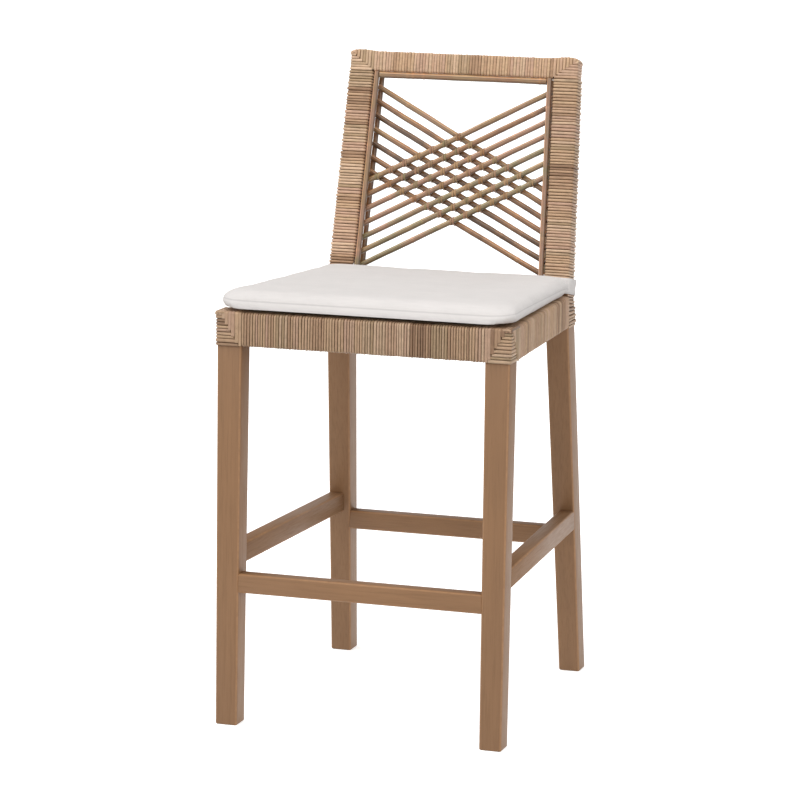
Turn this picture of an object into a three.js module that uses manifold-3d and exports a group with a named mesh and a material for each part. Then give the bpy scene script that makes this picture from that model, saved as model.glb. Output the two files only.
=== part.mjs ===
// Counter-height bar stool with a footrest: a stained hardwood frame, a seat frame and a back frame
// bound in rattan peel, a back panel of crossed rattan poles, and a tied-on seat cushion.
// Millimetres, +Z up, +Y towards the back. The origin is the middle of the overall box, on the floor.

import * as THREE from "three";
import { mergeVertices } from "three/addons/utils/BufferGeometryUtils.js";
import Module from "manifold-3d";

const { degToRad, lerp } = THREE.MathUtils;

// Overall size
const WIDTH = 449.6;
const DEPTH = 535.9;
const HEIGHT = 970.3;

// Clearance between touching pieces, and how far the rattan peel stands out from the wood
const GAP = 0.3;
const PEEL = 2.4;

// Seat frame: its top falls a little towards the back
const SEAT_HEIGHT = 621.5;
const APRON_HEIGHT = 50.5;
const SEAT_SLOPE = 0.0238;
const RAIL_THICKNESS = 22;
const REAR_RAIL_SETBACK = 9;

// Front legs
const FRONT_FACE = -DEPTH / 2 + PEEL;
const FRONT_LEG = {
  top: SEAT_HEIGHT - PEEL,
  outer: { floor: 221.2, top: WIDTH / 2 - PEEL },
  width: { floor: 33.6, top: 37.6 },
  depth: { floor: 35.3, top: 39.8 },
};

// Rear legs, below the bend at the seat
const REAR_LEG = {
  bend: 575,
  outer: { floor: 207.6, bend: 195.8 },
  width: { floor: 33.5, bend: 36.7 },
  depth: { floor: 35.3, bend: 40 },
  face: { floor: DEPTH / 2 - 35.3, bend: FRONT_FACE + 419.9 },
};

// Back frame, in its own leaning frame: x across, y behind the front plane, z up the lean
const LEAN = degToRad(11.36);
const BACK_FOOT = new THREE.Vector3(0, FRONT_FACE + 419.7, SEAT_HEIGHT);
const BACK_TOP = (HEIGHT - SEAT_HEIGHT) / Math.cos(LEAN);
const POST = {
  start: -12,
  wrapFoot: -3,
  outer: { foot: 195.4, top: 184.6 },
  width: 39.8,
  depth: { foot: 39.4, top: 30 },
};
const TOP_RAIL_HEIGHT = 31.3;

// Stretchers
const STRETCHER_THICKNESS = 24;
const FOOTREST = { bottom: 202.5, height: 29 };
const SIDE_STRETCHER = { bottom: 236, height: 30.8 };
const REAR_STRETCHER = { bottom: 208.1, height: 29.8 };

// Joints of the frame: tenons into the legs, and a bolt through each corner block
const TENON = { length: 18, shoulder: 5 };
const BLOCK = { height: 34, leg: 44, frontSkew: 4 };
const BOLT = { radius: 3, head: 6, headHeight: 4, headLap: 1, grip: 16 };

// Rattan poles of the back panel
const SIDE_POLE = { radius: 4.2, clearance: 1.9 };
const CROSS_POLE = { radius: 4.9, top: 319.1, bottom: 8.4 };
const POLE_SIDES = 12;

// The lattice: how many poles each layer has, and each layer's height in the middle of the back,
// spacing and slope. The falling poles fan out a little to the left, by a change of slope a pole.
const LATTICE = { count: 7, radius: 4.4, end: 1 };
const RISING = { centre: 163.1, pitch: 21.9, slope: 0.5295, fan: 0 };
const FALLING = { centre: 161, pitch: 21.9, slope: -0.5195, fan: 0.0052 };

// Seat panel, cushion and its ties
const PANEL_THICKNESS = 9;
const CUSHION = {
  front: -263.5,
  back: 149,
  overhang: -4,
  thickness: 29,
  edge: 11,
  corner: { front: 34, back: 18 },
  profile: [[0.9, 0], [0.25, 0.22], [0, 0.5], [0.25, 0.78], [0.9, 1]],
};
const TIE = { thickness: 1.2, bottom: -6.5, top: 17.5, lap: 17, stand: 0.7, climb: 4 };

const wood = new THREE.MeshStandardMaterial({ color: 0x8a6b54, roughness: 0.55, metalness: 0 });
const plywood = new THREE.MeshStandardMaterial({ color: 0xb08f68, roughness: 0.7, metalness: 0 });
const peel = new THREE.MeshStandardMaterial({ color: 0xa98a66, roughness: 0.6, metalness: 0 });
const pole = new THREE.MeshStandardMaterial({ color: 0xb0906a, roughness: 0.5, metalness: 0 });
const cotton = new THREE.MeshStandardMaterial({ color: 0xe9e6e3, roughness: 0.95, metalness: 0 });
const steel = new THREE.MeshStandardMaterial({ color: 0x9a9a98, roughness: 0.35, metalness: 1 });

const stool = new THREE.Group();
const back = new THREE.Group();
back.position.copy(BACK_FOOT);
back.rotation.x = -LEAN;
back.updateMatrixWorld(true);
stool.add(back);

const wasm = await Module();
wasm.setup();

// ---- solids -------------------------------------------------------------------------------------

// A closed solid through rings of equally many points. The first and last ring are capped, or
// joined to each other where the rings go round a hole. The faces are turned to point outwards.
function loft(rings, joined = false) {
  const sides = rings[0].length;
  const faces = [];
  const steps = joined ? rings.length : rings.length - 1;
  for (let step = 0; step < steps; step += 1) {
    const low = step * sides;
    const high = ((step + 1) % rings.length) * sides;
    for (let i = 0; i < sides; i += 1) {
      const next = (i + 1) % sides;
      faces.push(low + i, low + next, high + next, low + i, high + next, high + i);
    }
  }
  if (!joined) {
    const last = (rings.length - 1) * sides;
    for (let i = 1; i < sides - 1; i += 1) {
      faces.push(0, i + 1, i, last, last + i, last + i + 1);
    }
  }
  const points = rings.flat();
  let volume = 0;
  for (let i = 0; i < faces.length; i += 3) {
    const [a, b, c] = [points[faces[i]], points[faces[i + 1]], points[faces[i + 2]]];
    volume += a.dot(b.clone().cross(c));
  }
  const geometry = new THREE.BufferGeometry().setFromPoints(points);
  return geometry.setIndex(volume < 0 ? faces.reverse() : faces);
}

function solidOf(geometry) {
  const bare = geometry.clone();
  bare.deleteAttribute("normal");
  bare.deleteAttribute("uv");
  const merged = mergeVertices(bare);
  const vertProperties = merged.getAttribute("position").array;
  const triVerts = new Uint32Array(merged.index.array);
  return new wasm.Manifold(new wasm.Mesh({ numProp: 3, vertProperties, triVerts }));
}

function geometryOf(solid) {
  const mesh = solid.getMesh();
  const position = new THREE.BufferAttribute(new Float32Array(mesh.vertProperties), 3);
  const geometry = new THREE.BufferGeometry().setAttribute("position", position);
  return geometry.setIndex(new THREE.BufferAttribute(mesh.triVerts, 1));
}

// A geometry with other geometries taken out of it.
function cut(geometry, ...cutters) {
  let solid = solidOf(geometry);
  for (const cutter of cutters) {
    solid = solid.subtract(solidOf(cutter));
  }
  return geometryOf(solid);
}

function box(low, high) {
  const size = high.clone().sub(low);
  const centre = high.clone().add(low).multiplyScalar(0.5);
  const geometry = new THREE.BoxGeometry(size.x, size.y, size.z);
  return geometry.translate(centre.x, centre.y, centre.z);
}

function addMesh(parent, name, geometry, material) {
  const mesh = new THREE.Mesh(geometry, material);
  mesh.name = name;
  parent.add(mesh);
  return mesh;
}

const point = (x, y, z) => new THREE.Vector3(x, y, z);
const sideName = (side) => (side < 0 ? "left" : "right");
const seatTop = (y) => SEAT_HEIGHT - SEAT_SLOPE * (y - FRONT_FACE);

// A rectangle's four corners, given as across and up, made points by place(across, up).
function corners(acrossLow, acrossHigh, upLow, upHigh, place) {
  return [
    place(acrossLow, upLow),
    place(acrossHigh, upLow),
    place(acrossHigh, upHigh),
    place(acrossLow, upHigh),
  ];
}

// ---- legs ---------------------------------------------------------------------------------------

// Each member's faces as functions of height, or of the distance up the lean for the posts.
const frontLeg = (z) => {
  const up = z / FRONT_LEG.top;
  const outer = lerp(FRONT_LEG.outer.floor, FRONT_LEG.outer.top, up);
  const inner = outer - lerp(FRONT_LEG.width.floor, FRONT_LEG.width.top, up);
  const rear = FRONT_FACE + lerp(FRONT_LEG.depth.floor, FRONT_LEG.depth.top, up);
  return { inner, outer, front: FRONT_FACE, rear };
};

const rearLeg = (z) => {
  const up = z / REAR_LEG.bend;
  const outer = lerp(REAR_LEG.outer.floor, REAR_LEG.outer.bend, up);
  const inner = outer - lerp(REAR_LEG.width.floor, REAR_LEG.width.bend, up);
  const front = lerp(REAR_LEG.face.floor, REAR_LEG.face.bend, up);
  const rear = front + lerp(REAR_LEG.depth.floor, REAR_LEG.depth.bend, up);
  return { inner, outer, front, rear };
};

// The bound post's outside. Its wood is the same shape, in by the peel's thickness.
const post = (rise) => {
  const up = rise / BACK_TOP;
  const outer = lerp(POST.outer.foot, POST.outer.top, up);
  const rear = lerp(POST.depth.foot, POST.depth.top, up);
  return { inner: outer - POST.width, outer, front: 0, rear };
};

// The level ring round a leg or post, grown by a margin.
function legRing(faces, side, height, grow = 0) {
  const { inner, outer, front, rear } = faces;
  const place = (x, y) => point(side * x, y, height);
  return corners(inner - grow, outer + grow, front - grow, rear + grow, place);
}

const onBack = (ring) => ring.map((p) => p.clone().applyMatrix4(back.matrixWorld));

// Puts a ring's points at the seat's sloping top, or below it.
const underSeat = (ring, drop) => ring.map((p) => p.clone().setZ(seatTop(p.y) - drop));

function frontLegSolid(side) {
  const rings = [0, FRONT_LEG.top].map((z) => legRing(frontLeg(z), side, z));
  return loft([rings[0], underSeat(rings[1], PEEL)]);
}

function rearLegSolid(side, grow = 0) {
  const top = BACK_TOP - PEEL + grow;
  const rings = [0, REAR_LEG.bend].map((z) => legRing(rearLeg(z), side, z, grow));
  for (const rise of [POST.start, top]) {
    rings.push(onBack(legRing(post(rise), side, rise, grow - PEEL)));
  }
  return loft(rings);
}

// ---- rails and stretchers -----------------------------------------------------------------------

// A member across the stool, between faces whose half distance is reach(z), with a tenon each end.
function crossMember({ front, rear, bottom, top }, reach, tenon = TENON) {
  const section = (side, into, inset) => {
    const place = (y, z) => point(side * (reach(z) - GAP + into), y, z);
    return corners(front + inset, rear - inset, bottom + inset, top - inset, place);
  };
  const end = (side) => [
    section(side, tenon.length, tenon.shoulder),
    section(side, 0, tenon.shoulder),
    section(side, 0, 0),
  ];
  return loft([...end(-1), ...end(1).reverse()]);
}

// The mortises that take a cross member's tenons, one cutter for each side.
function crossMortise({ front, rear, bottom, top }, reach, side, tenon = TENON) {
  const inset = tenon.shoulder - GAP;
  const section = (into) => {
    const place = (y, z) => point(side * (reach(z) + into), y, z);
    return corners(front + inset, rear - inset, bottom + inset, top - inset, place);
  };
  return loft([section(-1), section(tenon.length + GAP)]);
}

// A member along one side, from the front leg's rear face to the rear leg's front face. Its outer
// face lies in line with the legs' outer faces, and it may fall towards the back.
function sideMember({ bottom, height, thickness, fall = 0 }) {
  const frontY = (z) => frontLeg(z).rear;
  const rearY = (z) => rearLeg(Math.min(z, REAR_LEG.bend)).front;
  const outerX = (y, z) => {
    const reach = (y - frontY(z)) / (rearY(z) - frontY(z));
    return lerp(frontLeg(z).outer, rearLeg(Math.min(z, REAR_LEG.bend)).outer, reach);
  };
  const section = (side, faceY, into, grow) => {
    const place = (across, up) => {
      const y = faceY(bottom + up) + into;
      return point(side * (outerX(y, bottom + up) - across), y, bottom + up - fall * (y - FRONT_FACE));
    };
    return corners(-grow, thickness + grow, -grow, height + grow, place);
  };
  const body = (side) => {
    const { length, shoulder } = TENON;
    return loft([
      section(side, frontY, GAP - length, -shoulder),
      section(side, frontY, GAP, -shoulder),
      section(side, frontY, GAP, 0),
      section(side, rearY, -GAP, 0),
      section(side, rearY, -GAP, -shoulder),
      section(side, rearY, length - GAP, -shoulder),
    ]);
  };
  const mortise = (side) => {
    const grow = GAP - TENON.shoulder;
    return loft([
      section(side, frontY, -TENON.length, grow),
      section(side, rearY, TENON.length, grow),
    ]);
  };
  const sleeve = (side) => {
    const hole = [section(side, rearY, -2 * GAP, GAP), section(side, frontY, 2 * GAP, GAP)];
    const skin = [section(side, frontY, 2 * GAP, PEEL), section(side, rearY, -2 * GAP, PEEL)];
    return loft([...skin, ...hole], true);
  };
  return { body, mortise, sleeve };
}

// The peel round a cross member: a sleeve between the faces that reach(z) gives.
function crossSleeve({ front, rear, bottom, top }, reach) {
  const section = (side, grow) => {
    const place = (y, z) => point(side * (reach(z) - 2 * GAP), y, z);
    return corners(front - grow, rear + grow, bottom - grow, top + grow, place);
  };
  return loft([section(-1, PEEL), section(1, PEEL), section(1, GAP), section(-1, GAP)], true);
}

const apronBottom = SEAT_HEIGHT - APRON_HEIGHT;
const railHeight = APRON_HEIGHT - 2 * PEEL;
const backEdge = rearLeg(REAR_LEG.bend).front;
const rearRailFront = backEdge + REAR_RAIL_SETBACK;
const rearRailTop = seatTop(rearRailFront) - PEEL;

const crossMembers = {
  footrest: {
    front: FRONT_FACE + GAP,
    rear: FRONT_FACE + STRETCHER_THICKNESS,
    bottom: FOOTREST.bottom,
    top: FOOTREST.bottom + FOOTREST.height,
  },
  front_seat_rail: {
    front: FRONT_FACE,
    rear: FRONT_FACE + RAIL_THICKNESS,
    bottom: apronBottom + PEEL,
    top: SEAT_HEIGHT - PEEL,
  },
  rear_stretcher: {
    front: rearLeg(REAR_STRETCHER.bottom + REAR_STRETCHER.height / 2).front,
    rear: rearLeg(REAR_STRETCHER.bottom + REAR_STRETCHER.height / 2).front + STRETCHER_THICKNESS,
    bottom: REAR_STRETCHER.bottom,
    top: REAR_STRETCHER.bottom + REAR_STRETCHER.height,
  },
  rear_seat_rail: {
    front: rearRailFront,
    rear: rearRailFront + RAIL_THICKNESS,
    bottom: rearRailTop - railHeight,
    top: rearRailTop,
  },
};
const topRail = {
  front: PEEL,
  rear: POST.depth.top - PEEL,
  bottom: BACK_TOP - TOP_RAIL_HEIGHT + PEEL,
  top: BACK_TOP - PEEL,
};
const sideMembers = {
  side_stretcher: sideMember({ ...SIDE_STRETCHER, thickness: STRETCHER_THICKNESS }),
  side_seat_rail: sideMember({
    bottom: apronBottom + PEEL,
    height: railHeight,
    thickness: RAIL_THICKNESS,
    fall: SEAT_SLOPE,
  }),
};

const betweenFrontLegs = (z) => frontLeg(z).inner;
const betweenRearLegs = (z) => rearLeg(z).inner;
const atSeat = () => post(POST.start).inner + PEEL - GAP;
const betweenPosts = (rise) => post(rise).inner + PEEL;
const reaches = {
  footrest: betweenFrontLegs,
  front_seat_rail: betweenFrontLegs,
  rear_stretcher: betweenRearLegs,
  rear_seat_rail: atSeat,
};
const shortTenon = { length: 12, shoulder: TENON.shoulder };

// ---- corner blocks and bolts --------------------------------------------------------------------

// A corner block's outline seen from above: against the two rails, notched round the leg.
function blockCorner(end) {
  const atFront = end === "front";
  const leg = atFront ? frontLeg(FRONT_LEG.top) : rearLeg(REAR_LEG.bend);
  const railFace = atFront
    ? FRONT_FACE + RAIL_THICKNESS + PEEL + GAP
    : rearRailFront - PEEL - GAP;
  const legFace = atFront ? leg.rear + 2 * GAP : leg.front - 2 * GAP;
  const towards = atFront ? 1 : -1;
  const legX = leg.inner - 3 * GAP;
  const sideX = leg.outer - RAIL_THICKNESS - PEEL - (atFront ? 4 : 1) * GAP;
  const edge = atFront ? leg.rear : leg.front;
  return { railFace, legFace, towards, legX, sideX, inner: leg.inner, edge };
}

function cornerBlock(end, side, low) {
  const { railFace, legFace, towards, legX, sideX } = blockCorner(end);
  const skew = end === "front" ? BLOCK.frontSkew : 0;
  const outline = new THREE.Shape([
    new THREE.Vector2(side * (legX - BLOCK.leg), railFace),
    new THREE.Vector2(side * legX, railFace),
    new THREE.Vector2(side * legX, legFace),
    new THREE.Vector2(side * sideX, legFace),
    new THREE.Vector2(side * (sideX - skew), legFace + towards * BLOCK.leg),
  ]);
  const block = new THREE.ExtrudeGeometry(outline, { depth: BLOCK.height, bevelEnabled: false });
  return block.translate(0, 0, low);
}

// A bolt's rod or head, or the hole for it, on the diagonal line that runs into the leg's corner.
function boltPiece(end, side, low, radius, from, to, sides) {
  const { towards, inner, edge } = blockCorner(end);
  const rod = new THREE.CylinderGeometry(radius, radius, to - from, sides);
  rod.translate(0, (from + to) / 2, 0);
  const direction = point(-side, towards, 0).normalize();
  rod.applyQuaternion(new THREE.Quaternion().setFromUnitVectors(point(0, 1, 0), direction));
  return rod.translate(side * inner, edge, low + BLOCK.height / 2);
}

// How far the block's long face lies from the leg's corner along the bolt.
function blockReach(end) {
  const { railFace, legFace, towards, legX, sideX, inner, edge } = blockCorner(end);
  const skew = end === "front" ? BLOCK.frontSkew : 0;
  const a = point(legX - BLOCK.leg, railFace, 0);
  const b = point(sideX - skew, legFace + towards * BLOCK.leg, 0);
  const along = b.clone().sub(a).normalize();
  const direction = point(-1, towards, 0).normalize();
  const offset = a.clone().sub(point(inner, edge, 0));
  return offset.clone().cross(along).z / direction.clone().cross(along).z;
}

const blockLow = (end) => {
  const y = end === "front" ? FRONT_FACE + BLOCK.leg * 2 : backEdge;
  return seatTop(y) - PANEL_THICKNESS - 3 * GAP - BLOCK.height;
};

function boltGeometry(end, side, low) {
  const reach = blockReach(end) + GAP;
  const rod = boltPiece(end, side, low, BOLT.radius, -BOLT.grip, reach + BOLT.headLap, POLE_SIDES);
  const head = boltPiece(end, side, low, BOLT.head, reach, reach + BOLT.headHeight, 6);
  return geometryOf(solidOf(rod).add(solidOf(head)));
}

const boltHole = (end, side, low) =>
  boltPiece(end, side, low, BOLT.radius + GAP, -BOLT.grip - GAP, BLOCK.leg * 2, POLE_SIDES);

// ---- the wooden frame ---------------------------------------------------------------------------

function addFrame() {
  for (const [name, section] of Object.entries(crossMembers)) {
    addMesh(stool, name, crossMember(section, reaches[name]), wood);
  }
  addMesh(back, "back_top_rail", crossMember(topRail, betweenPosts, shortTenon), wood);
  for (const side of [-1, 1]) {
    for (const [name, member] of Object.entries(sideMembers)) {
      addMesh(stool, `${name}_${sideName(side)}`, member.body(side), wood);
    }
    const sideMortises = Object.values(sideMembers).map((member) => member.mortise(side));
    const mortise = (name) => crossMortise(crossMembers[name], reaches[name], side);
    const frontSolid = cut(
      frontLegSolid(side),
      mortise("footrest"),
      mortise("front_seat_rail"),
      boltHole("front", side, blockLow("front")),
      ...sideMortises,
    );
    addMesh(stool, `front_leg_${sideName(side)}`, frontSolid, wood);
    const topMortise = crossMortise(topRail, betweenPosts, side, shortTenon);
    const rearSolid = cut(
      rearLegSolid(side),
      mortise("rear_stretcher"),
      mortise("rear_seat_rail"),
      boltHole("rear", side, blockLow("rear")),
      topMortise.applyMatrix4(back.matrixWorld),
      ...sideMortises,
    );
    addMesh(stool, `rear_leg_${sideName(side)}`, rearSolid, wood);
  }
}

function addCorners() {
  for (const end of ["front", "rear"]) {
    for (const side of [-1, 1]) {
      const low = blockLow(end);
      const name = `${end}_${sideName(side)}`;
      const block = cut(cornerBlock(end, side, low), boltHole(end, side, low));
      addMesh(stool, `corner_block_${name}`, block, wood);
      addMesh(stool, `corner_bolt_${name}`, boltGeometry(end, side, low), steel);
    }
  }
}

// The panel under the cushion fills the seat frame, and is notched round the legs.
function addSeatPanel() {
  const margin = 2 * GAP;
  const frontY = FRONT_FACE + RAIL_THICKNESS + PEEL + margin;
  const rearY = rearRailFront - PEEL - margin;
  const halfWidth = (y) => {
    const reach = (y - FRONT_FACE) / (backEdge - FRONT_FACE);
    const outer = lerp(FRONT_LEG.outer.top, REAR_LEG.outer.bend, reach);
    return outer - RAIL_THICKNESS - PEEL - 4 * margin;
  };
  const ring = (y) => {
    const place = (x, up) => point(x, y, seatTop(y) + up);
    return corners(-halfWidth(y), halfWidth(y), -PANEL_THICKNESS, 0, place);
  };
  const notches = [-1, 1].flatMap((side) => {
    const notch = (faces) => {
      const low = legRing(faces, side, SEAT_HEIGHT / 2, 2 * margin);
      const high = legRing(faces, side, SEAT_HEIGHT * 2, 2 * margin);
      return loft([low, high]);
    };
    return [notch(frontLeg(SEAT_HEIGHT)), notch(rearLeg(REAR_LEG.bend))];
  });
  addMesh(stool, "seat_panel", cut(loft([ring(frontY), ring(rearY)]), ...notches), plywood);
}

// ---- rattan peel --------------------------------------------------------------------------------

function addPostWrap(side) {
  const headRise = BACK_TOP - TOP_RAIL_HEIGHT - GAP;
  const ring = (rise, grow) => legRing(post(rise), side, rise, grow);
  const inner = GAP - PEEL;
  const foot = POST.wrapFoot;
  const rings = [ring(foot, 0), ring(headRise, 0), ring(headRise, inner), ring(foot, inner)];
  const clear = rearLegSolid(side, GAP).applyMatrix4(back.matrixWorld.clone().invert());
  addMesh(back, `post_wrap_${sideName(side)}`, cut(loft(rings, true), clear), peel);
}

// The front leg's head is bound on its front, outer side and top.
function addFrontCornerWrap(side) {
  const leg = frontLeg(FRONT_LEG.top);
  const wide = 2 * RAIL_THICKNESS;
  const column = (inner, outer, front, rear, bottom, drop) => {
    const ring = corners(inner, outer, front, rear, (x, y) => point(side * x, y, bottom));
    return loft([ring, underSeat(ring, drop)]);
  };
  const shell = column(leg.inner, leg.outer + PEEL, FRONT_FACE - PEEL, leg.rear, apronBottom, 0);
  const hollow = [leg.inner - wide, leg.outer + GAP, FRONT_FACE - GAP, leg.rear + wide];
  const inside = column(...hollow, apronBottom - wide, PEEL - GAP);
  addMesh(stool, `front_corner_wrap_${sideName(side)}`, cut(shell, inside), peel);
}

// The rear leg is bound on its outer side and back where the seat frame meets it.
function addRearCornerWrap(side) {
  const faces = rearLeg(REAR_LEG.bend);
  const low = seatTop(backEdge) - APRON_HEIGHT;
  const wide = 2 * RAIL_THICKNESS;
  const nearSide = (x0, x1, y0, y1, z0, z1) => {
    const xs = [side * x0, side * x1].sort((a, b) => a - b);
    return box(point(xs[0], y0, z0), point(xs[1], y1, z1));
  };
  const below = nearSide(0, WIDTH, 0, DEPTH, 0, low);
  const front = nearSide(0, WIDTH, 0, faces.front + 2 * GAP, 0, HEIGHT);
  const inside = nearSide(0, faces.inner + 2 * GAP, 0, DEPTH, 0, HEIGHT);
  const level = POST.wrapFoot - GAP;
  const above = box(point(-WIDTH, -wide, level), point(WIDTH, DEPTH, BACK_TOP + wide));
  above.applyMatrix4(back.matrixWorld);
  const wrap = cut(rearLegSolid(side, PEEL), rearLegSolid(side, GAP), below, front, inside, above);
  addMesh(stool, `rear_corner_wrap_${sideName(side)}`, wrap, peel);
}

// The top rail's peel runs over the heads of both posts.
function addTopRailWrap() {
  const bottom = BACK_TOP - TOP_RAIL_HEIGHT;
  const section = (side) => {
    const place = (y, z) => point(side * post(z).outer, y, z);
    return corners(0, POST.depth.top, bottom, BACK_TOP, place);
  };
  const hollow = (side) => {
    const place = (y, z) => point(side * betweenPosts(z), y, z);
    const { front, rear } = topRail;
    return corners(front - GAP, rear + GAP, topRail.bottom - GAP, topRail.top + GAP, place);
  };
  const unlean = back.matrixWorld.clone().invert();
  const heads = [-1, 1].map((side) => rearLegSolid(side, GAP).applyMatrix4(unlean));
  const wrap = cut(loft([section(-1), section(1)]), loft([hollow(-1), hollow(1)]), ...heads);
  addMesh(back, "top_rail_wrap", wrap, peel);
}

function addPeel() {
  const { front_seat_rail: frontRail, rear_seat_rail: rearRail } = crossMembers;
  addMesh(stool, "front_apron_wrap", crossSleeve(frontRail, betweenFrontLegs), peel);
  addMesh(stool, "rear_apron_wrap", crossSleeve(rearRail, atSeat), peel);
  addTopRailWrap();
  for (const side of [-1, 1]) {
    const name = `side_apron_wrap_${sideName(side)}`;
    addMesh(stool, name, sideMembers.side_seat_rail.sleeve(side), peel);
    addPostWrap(side);
    addFrontCornerWrap(side);
    addRearCornerWrap(side);
  }
}

// ---- rattan poles -------------------------------------------------------------------------------

function addPole(name, from, to, radius) {
  const along = to.clone().sub(from);
  const geometry = new THREE.CylinderGeometry(radius, radius, along.length(), POLE_SIDES);
  const mesh = addMesh(back, name, geometry, pole);
  mesh.position.copy(from).addScaledVector(along, 0.5);
  mesh.quaternion.setFromUnitVectors(point(0, 1, 0), along.normalize());
}

// The layers of the panel, from the front plane backwards: side pole, two lattice layers, side pole.
const frontLayer = SIDE_POLE.radius;
const risingLayer = frontLayer + SIDE_POLE.radius + LATTICE.radius + GAP;
const fallingLayer = risingLayer + 2 * LATTICE.radius + GAP;
const rearLayer = fallingLayer + LATTICE.radius + SIDE_POLE.radius + GAP;
const sidePoleX = (rise) => post(rise).inner - SIDE_POLE.clearance - SIDE_POLE.radius;

function addSidePoles() {
  const foot = seatTop(backEdge) - SEAT_HEIGHT + 5 * GAP;
  const head = BACK_TOP - TOP_RAIL_HEIGHT - GAP;
  for (const side of [-1, 1]) {
    for (const [layerName, layer] of [["front", frontLayer], ["rear", rearLayer]]) {
      const lift = layer * Math.tan(LEAN);
      const from = point(side * sidePoleX(foot + lift), layer, foot + lift);
      const to = point(side * sidePoleX(head), layer, head);
      addPole(`side_pole_${layerName}_${sideName(side)}`, from, to, SIDE_POLE.radius);
    }
  }
}

function addCrossPoles() {
  for (const place of ["top", "bottom"]) {
    const rise = CROSS_POLE[place];
    const reach = sidePoleX(rise) - SIDE_POLE.radius - 2 * GAP;
    const layer = CROSS_POLE.radius;
    const name = `cross_pole_${place}`;
    addPole(name, point(-reach, layer, rise), point(reach, layer, rise), CROSS_POLE.radius);
  }
}

// Two layers of parallel poles, one rising to the right in front of one falling to the right.
function addLattice() {
  const middle = (LATTICE.count - 1) / 2;
  const layers = [["rising", risingLayer, RISING], ["falling", fallingLayer, FALLING]];
  for (const [layerName, layer, { centre, pitch, slope, fan }] of layers) {
    for (let i = 0; i < LATTICE.count; i += 1) {
      const crossing = centre + pitch * (middle - i);
      const ends = [-1, 1].map((side) => {
        const climb = side * (slope + fan * (i - middle));
        const reach = sidePoleX(crossing + climb * sidePoleX(crossing)) + LATTICE.end;
        return point(side * reach, layer, crossing + climb * reach);
      });
      addPole(`lattice_${layerName}_${i + 1}`, ...ends, LATTICE.radius);
    }
  }
}

// ---- cushion and ties ---------------------------------------------------------------------------

// The cushion's outline seen from above, drawn in by an inset, with round corners.
function cushionOutline(inset) {
  const seatHalf = (y) => {
    const reach = (y - FRONT_FACE) / (backEdge - FRONT_FACE);
    return lerp(WIDTH / 2, REAR_LEG.outer.bend + PEEL, reach) + CUSHION.overhang - inset;
  };
  const outline = [];
  const steps = 5;
  const addCorner = (side, y, radius, start) => {
    const centre = point(side * (seatHalf(y) - radius), y < 0 ? y + radius : y - radius, 0);
    for (let i = 0; i <= steps; i += 1) {
      const angle = start + (i / steps) * (Math.PI / 2);
      outline.push(point(centre.x + radius * Math.cos(angle), centre.y + radius * Math.sin(angle), 0));
    }
  };
  const { front, back: rear, corner } = CUSHION;
  addCorner(1, front + inset, corner.front, -Math.PI / 2);
  addCorner(1, rear - inset, corner.back, 0);
  addCorner(-1, rear - inset, corner.back, Math.PI / 2);
  addCorner(-1, front + inset, corner.front, Math.PI);
  return outline;
}

function addCushion() {
  const { thickness, edge } = CUSHION;
  const levels = CUSHION.profile.map(([inset, up]) => [edge * inset, thickness * up]);
  const rings = levels.map(([inset, up]) => {
    const outline = cushionOutline(inset);
    return outline.map((p) => point(p.x, p.y, seatTop(p.y) + 2 * GAP + up));
  });
  addMesh(stool, "cushion", loft(rings), cotton);
}

// A tie runs from the cushion's back corner round the post, and returns inside it, a little higher
// so that it clears the rear apron.
function addTie(side) {
  const { thickness, bottom, top, lap, stand, climb } = TIE;
  const half = thickness / 2;
  const centreline = (rise) => {
    const { inner, outer, rear } = post(rise);
    const away = stand + half;
    const inside = inner - SIDE_POLE.clearance / 2;
    return [
      [outer - lap, -away, rise],
      [outer, -away, rise],
      [outer + away, 0, rise],
      [outer + away, rear, rise],
      [outer, rear + away, rise],
      [inner, rear + away, rise + climb],
      [inside, rear, rise + climb],
      [inside, stand, rise + climb],
    ].map((place) => point(...place));
  };
  const low = centreline(bottom);
  const high = centreline(top);
  const rings = low.map((start, i) => {
    const along = low[Math.min(i + 1, low.length - 1)].clone().sub(low[Math.max(i - 1, 0)]);
    const away = point(-along.y, along.x, 0).setLength(half);
    const ring = [start.clone().sub(away), start.clone().add(away)];
    ring.push(high[i].clone().add(away), high[i].clone().sub(away));
    return ring.map((p) => point(side * p.x, p.y, p.z));
  });
  addMesh(back, `cushion_tie_${sideName(side)}`, loft(rings), cotton);
}

addFrame();
addCorners();
addSeatPanel();
addPeel();
addSidePoles();
addCrossPoles();
addLattice();
addCushion();
for (const side of [-1, 1]) {
  addTie(side);
}

export default stool;
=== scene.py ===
"""Bar stool with a footrest: stained hardwood, rattan peel binding, a lattice of rattan poles
between the back posts, and a tied-on cotton seat cushion."""
import math
import random

import bmesh
import bpy
import numpy as np
from bpy.props import FloatProperty, FloatVectorProperty, IntProperty, PointerProperty
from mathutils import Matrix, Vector


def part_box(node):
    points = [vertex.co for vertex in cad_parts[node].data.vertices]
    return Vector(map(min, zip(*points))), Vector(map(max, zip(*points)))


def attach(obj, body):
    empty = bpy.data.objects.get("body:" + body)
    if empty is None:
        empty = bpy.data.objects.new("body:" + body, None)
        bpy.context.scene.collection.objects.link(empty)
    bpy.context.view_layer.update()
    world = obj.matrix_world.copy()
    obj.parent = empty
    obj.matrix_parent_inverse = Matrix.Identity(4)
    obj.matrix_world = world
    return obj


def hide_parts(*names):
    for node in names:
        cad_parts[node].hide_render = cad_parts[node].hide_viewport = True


bl_info = {
    "name": "Rattan Bar Stool",
    "version": (1, 0, 0),
    "blender": (4, 5, 0),
    "location": "View3D > Sidebar > Bar Stool",
    "description": "Builds the parts of a bar stool bound in rattan peel",
    "category": "Add Mesh",
}

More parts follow.
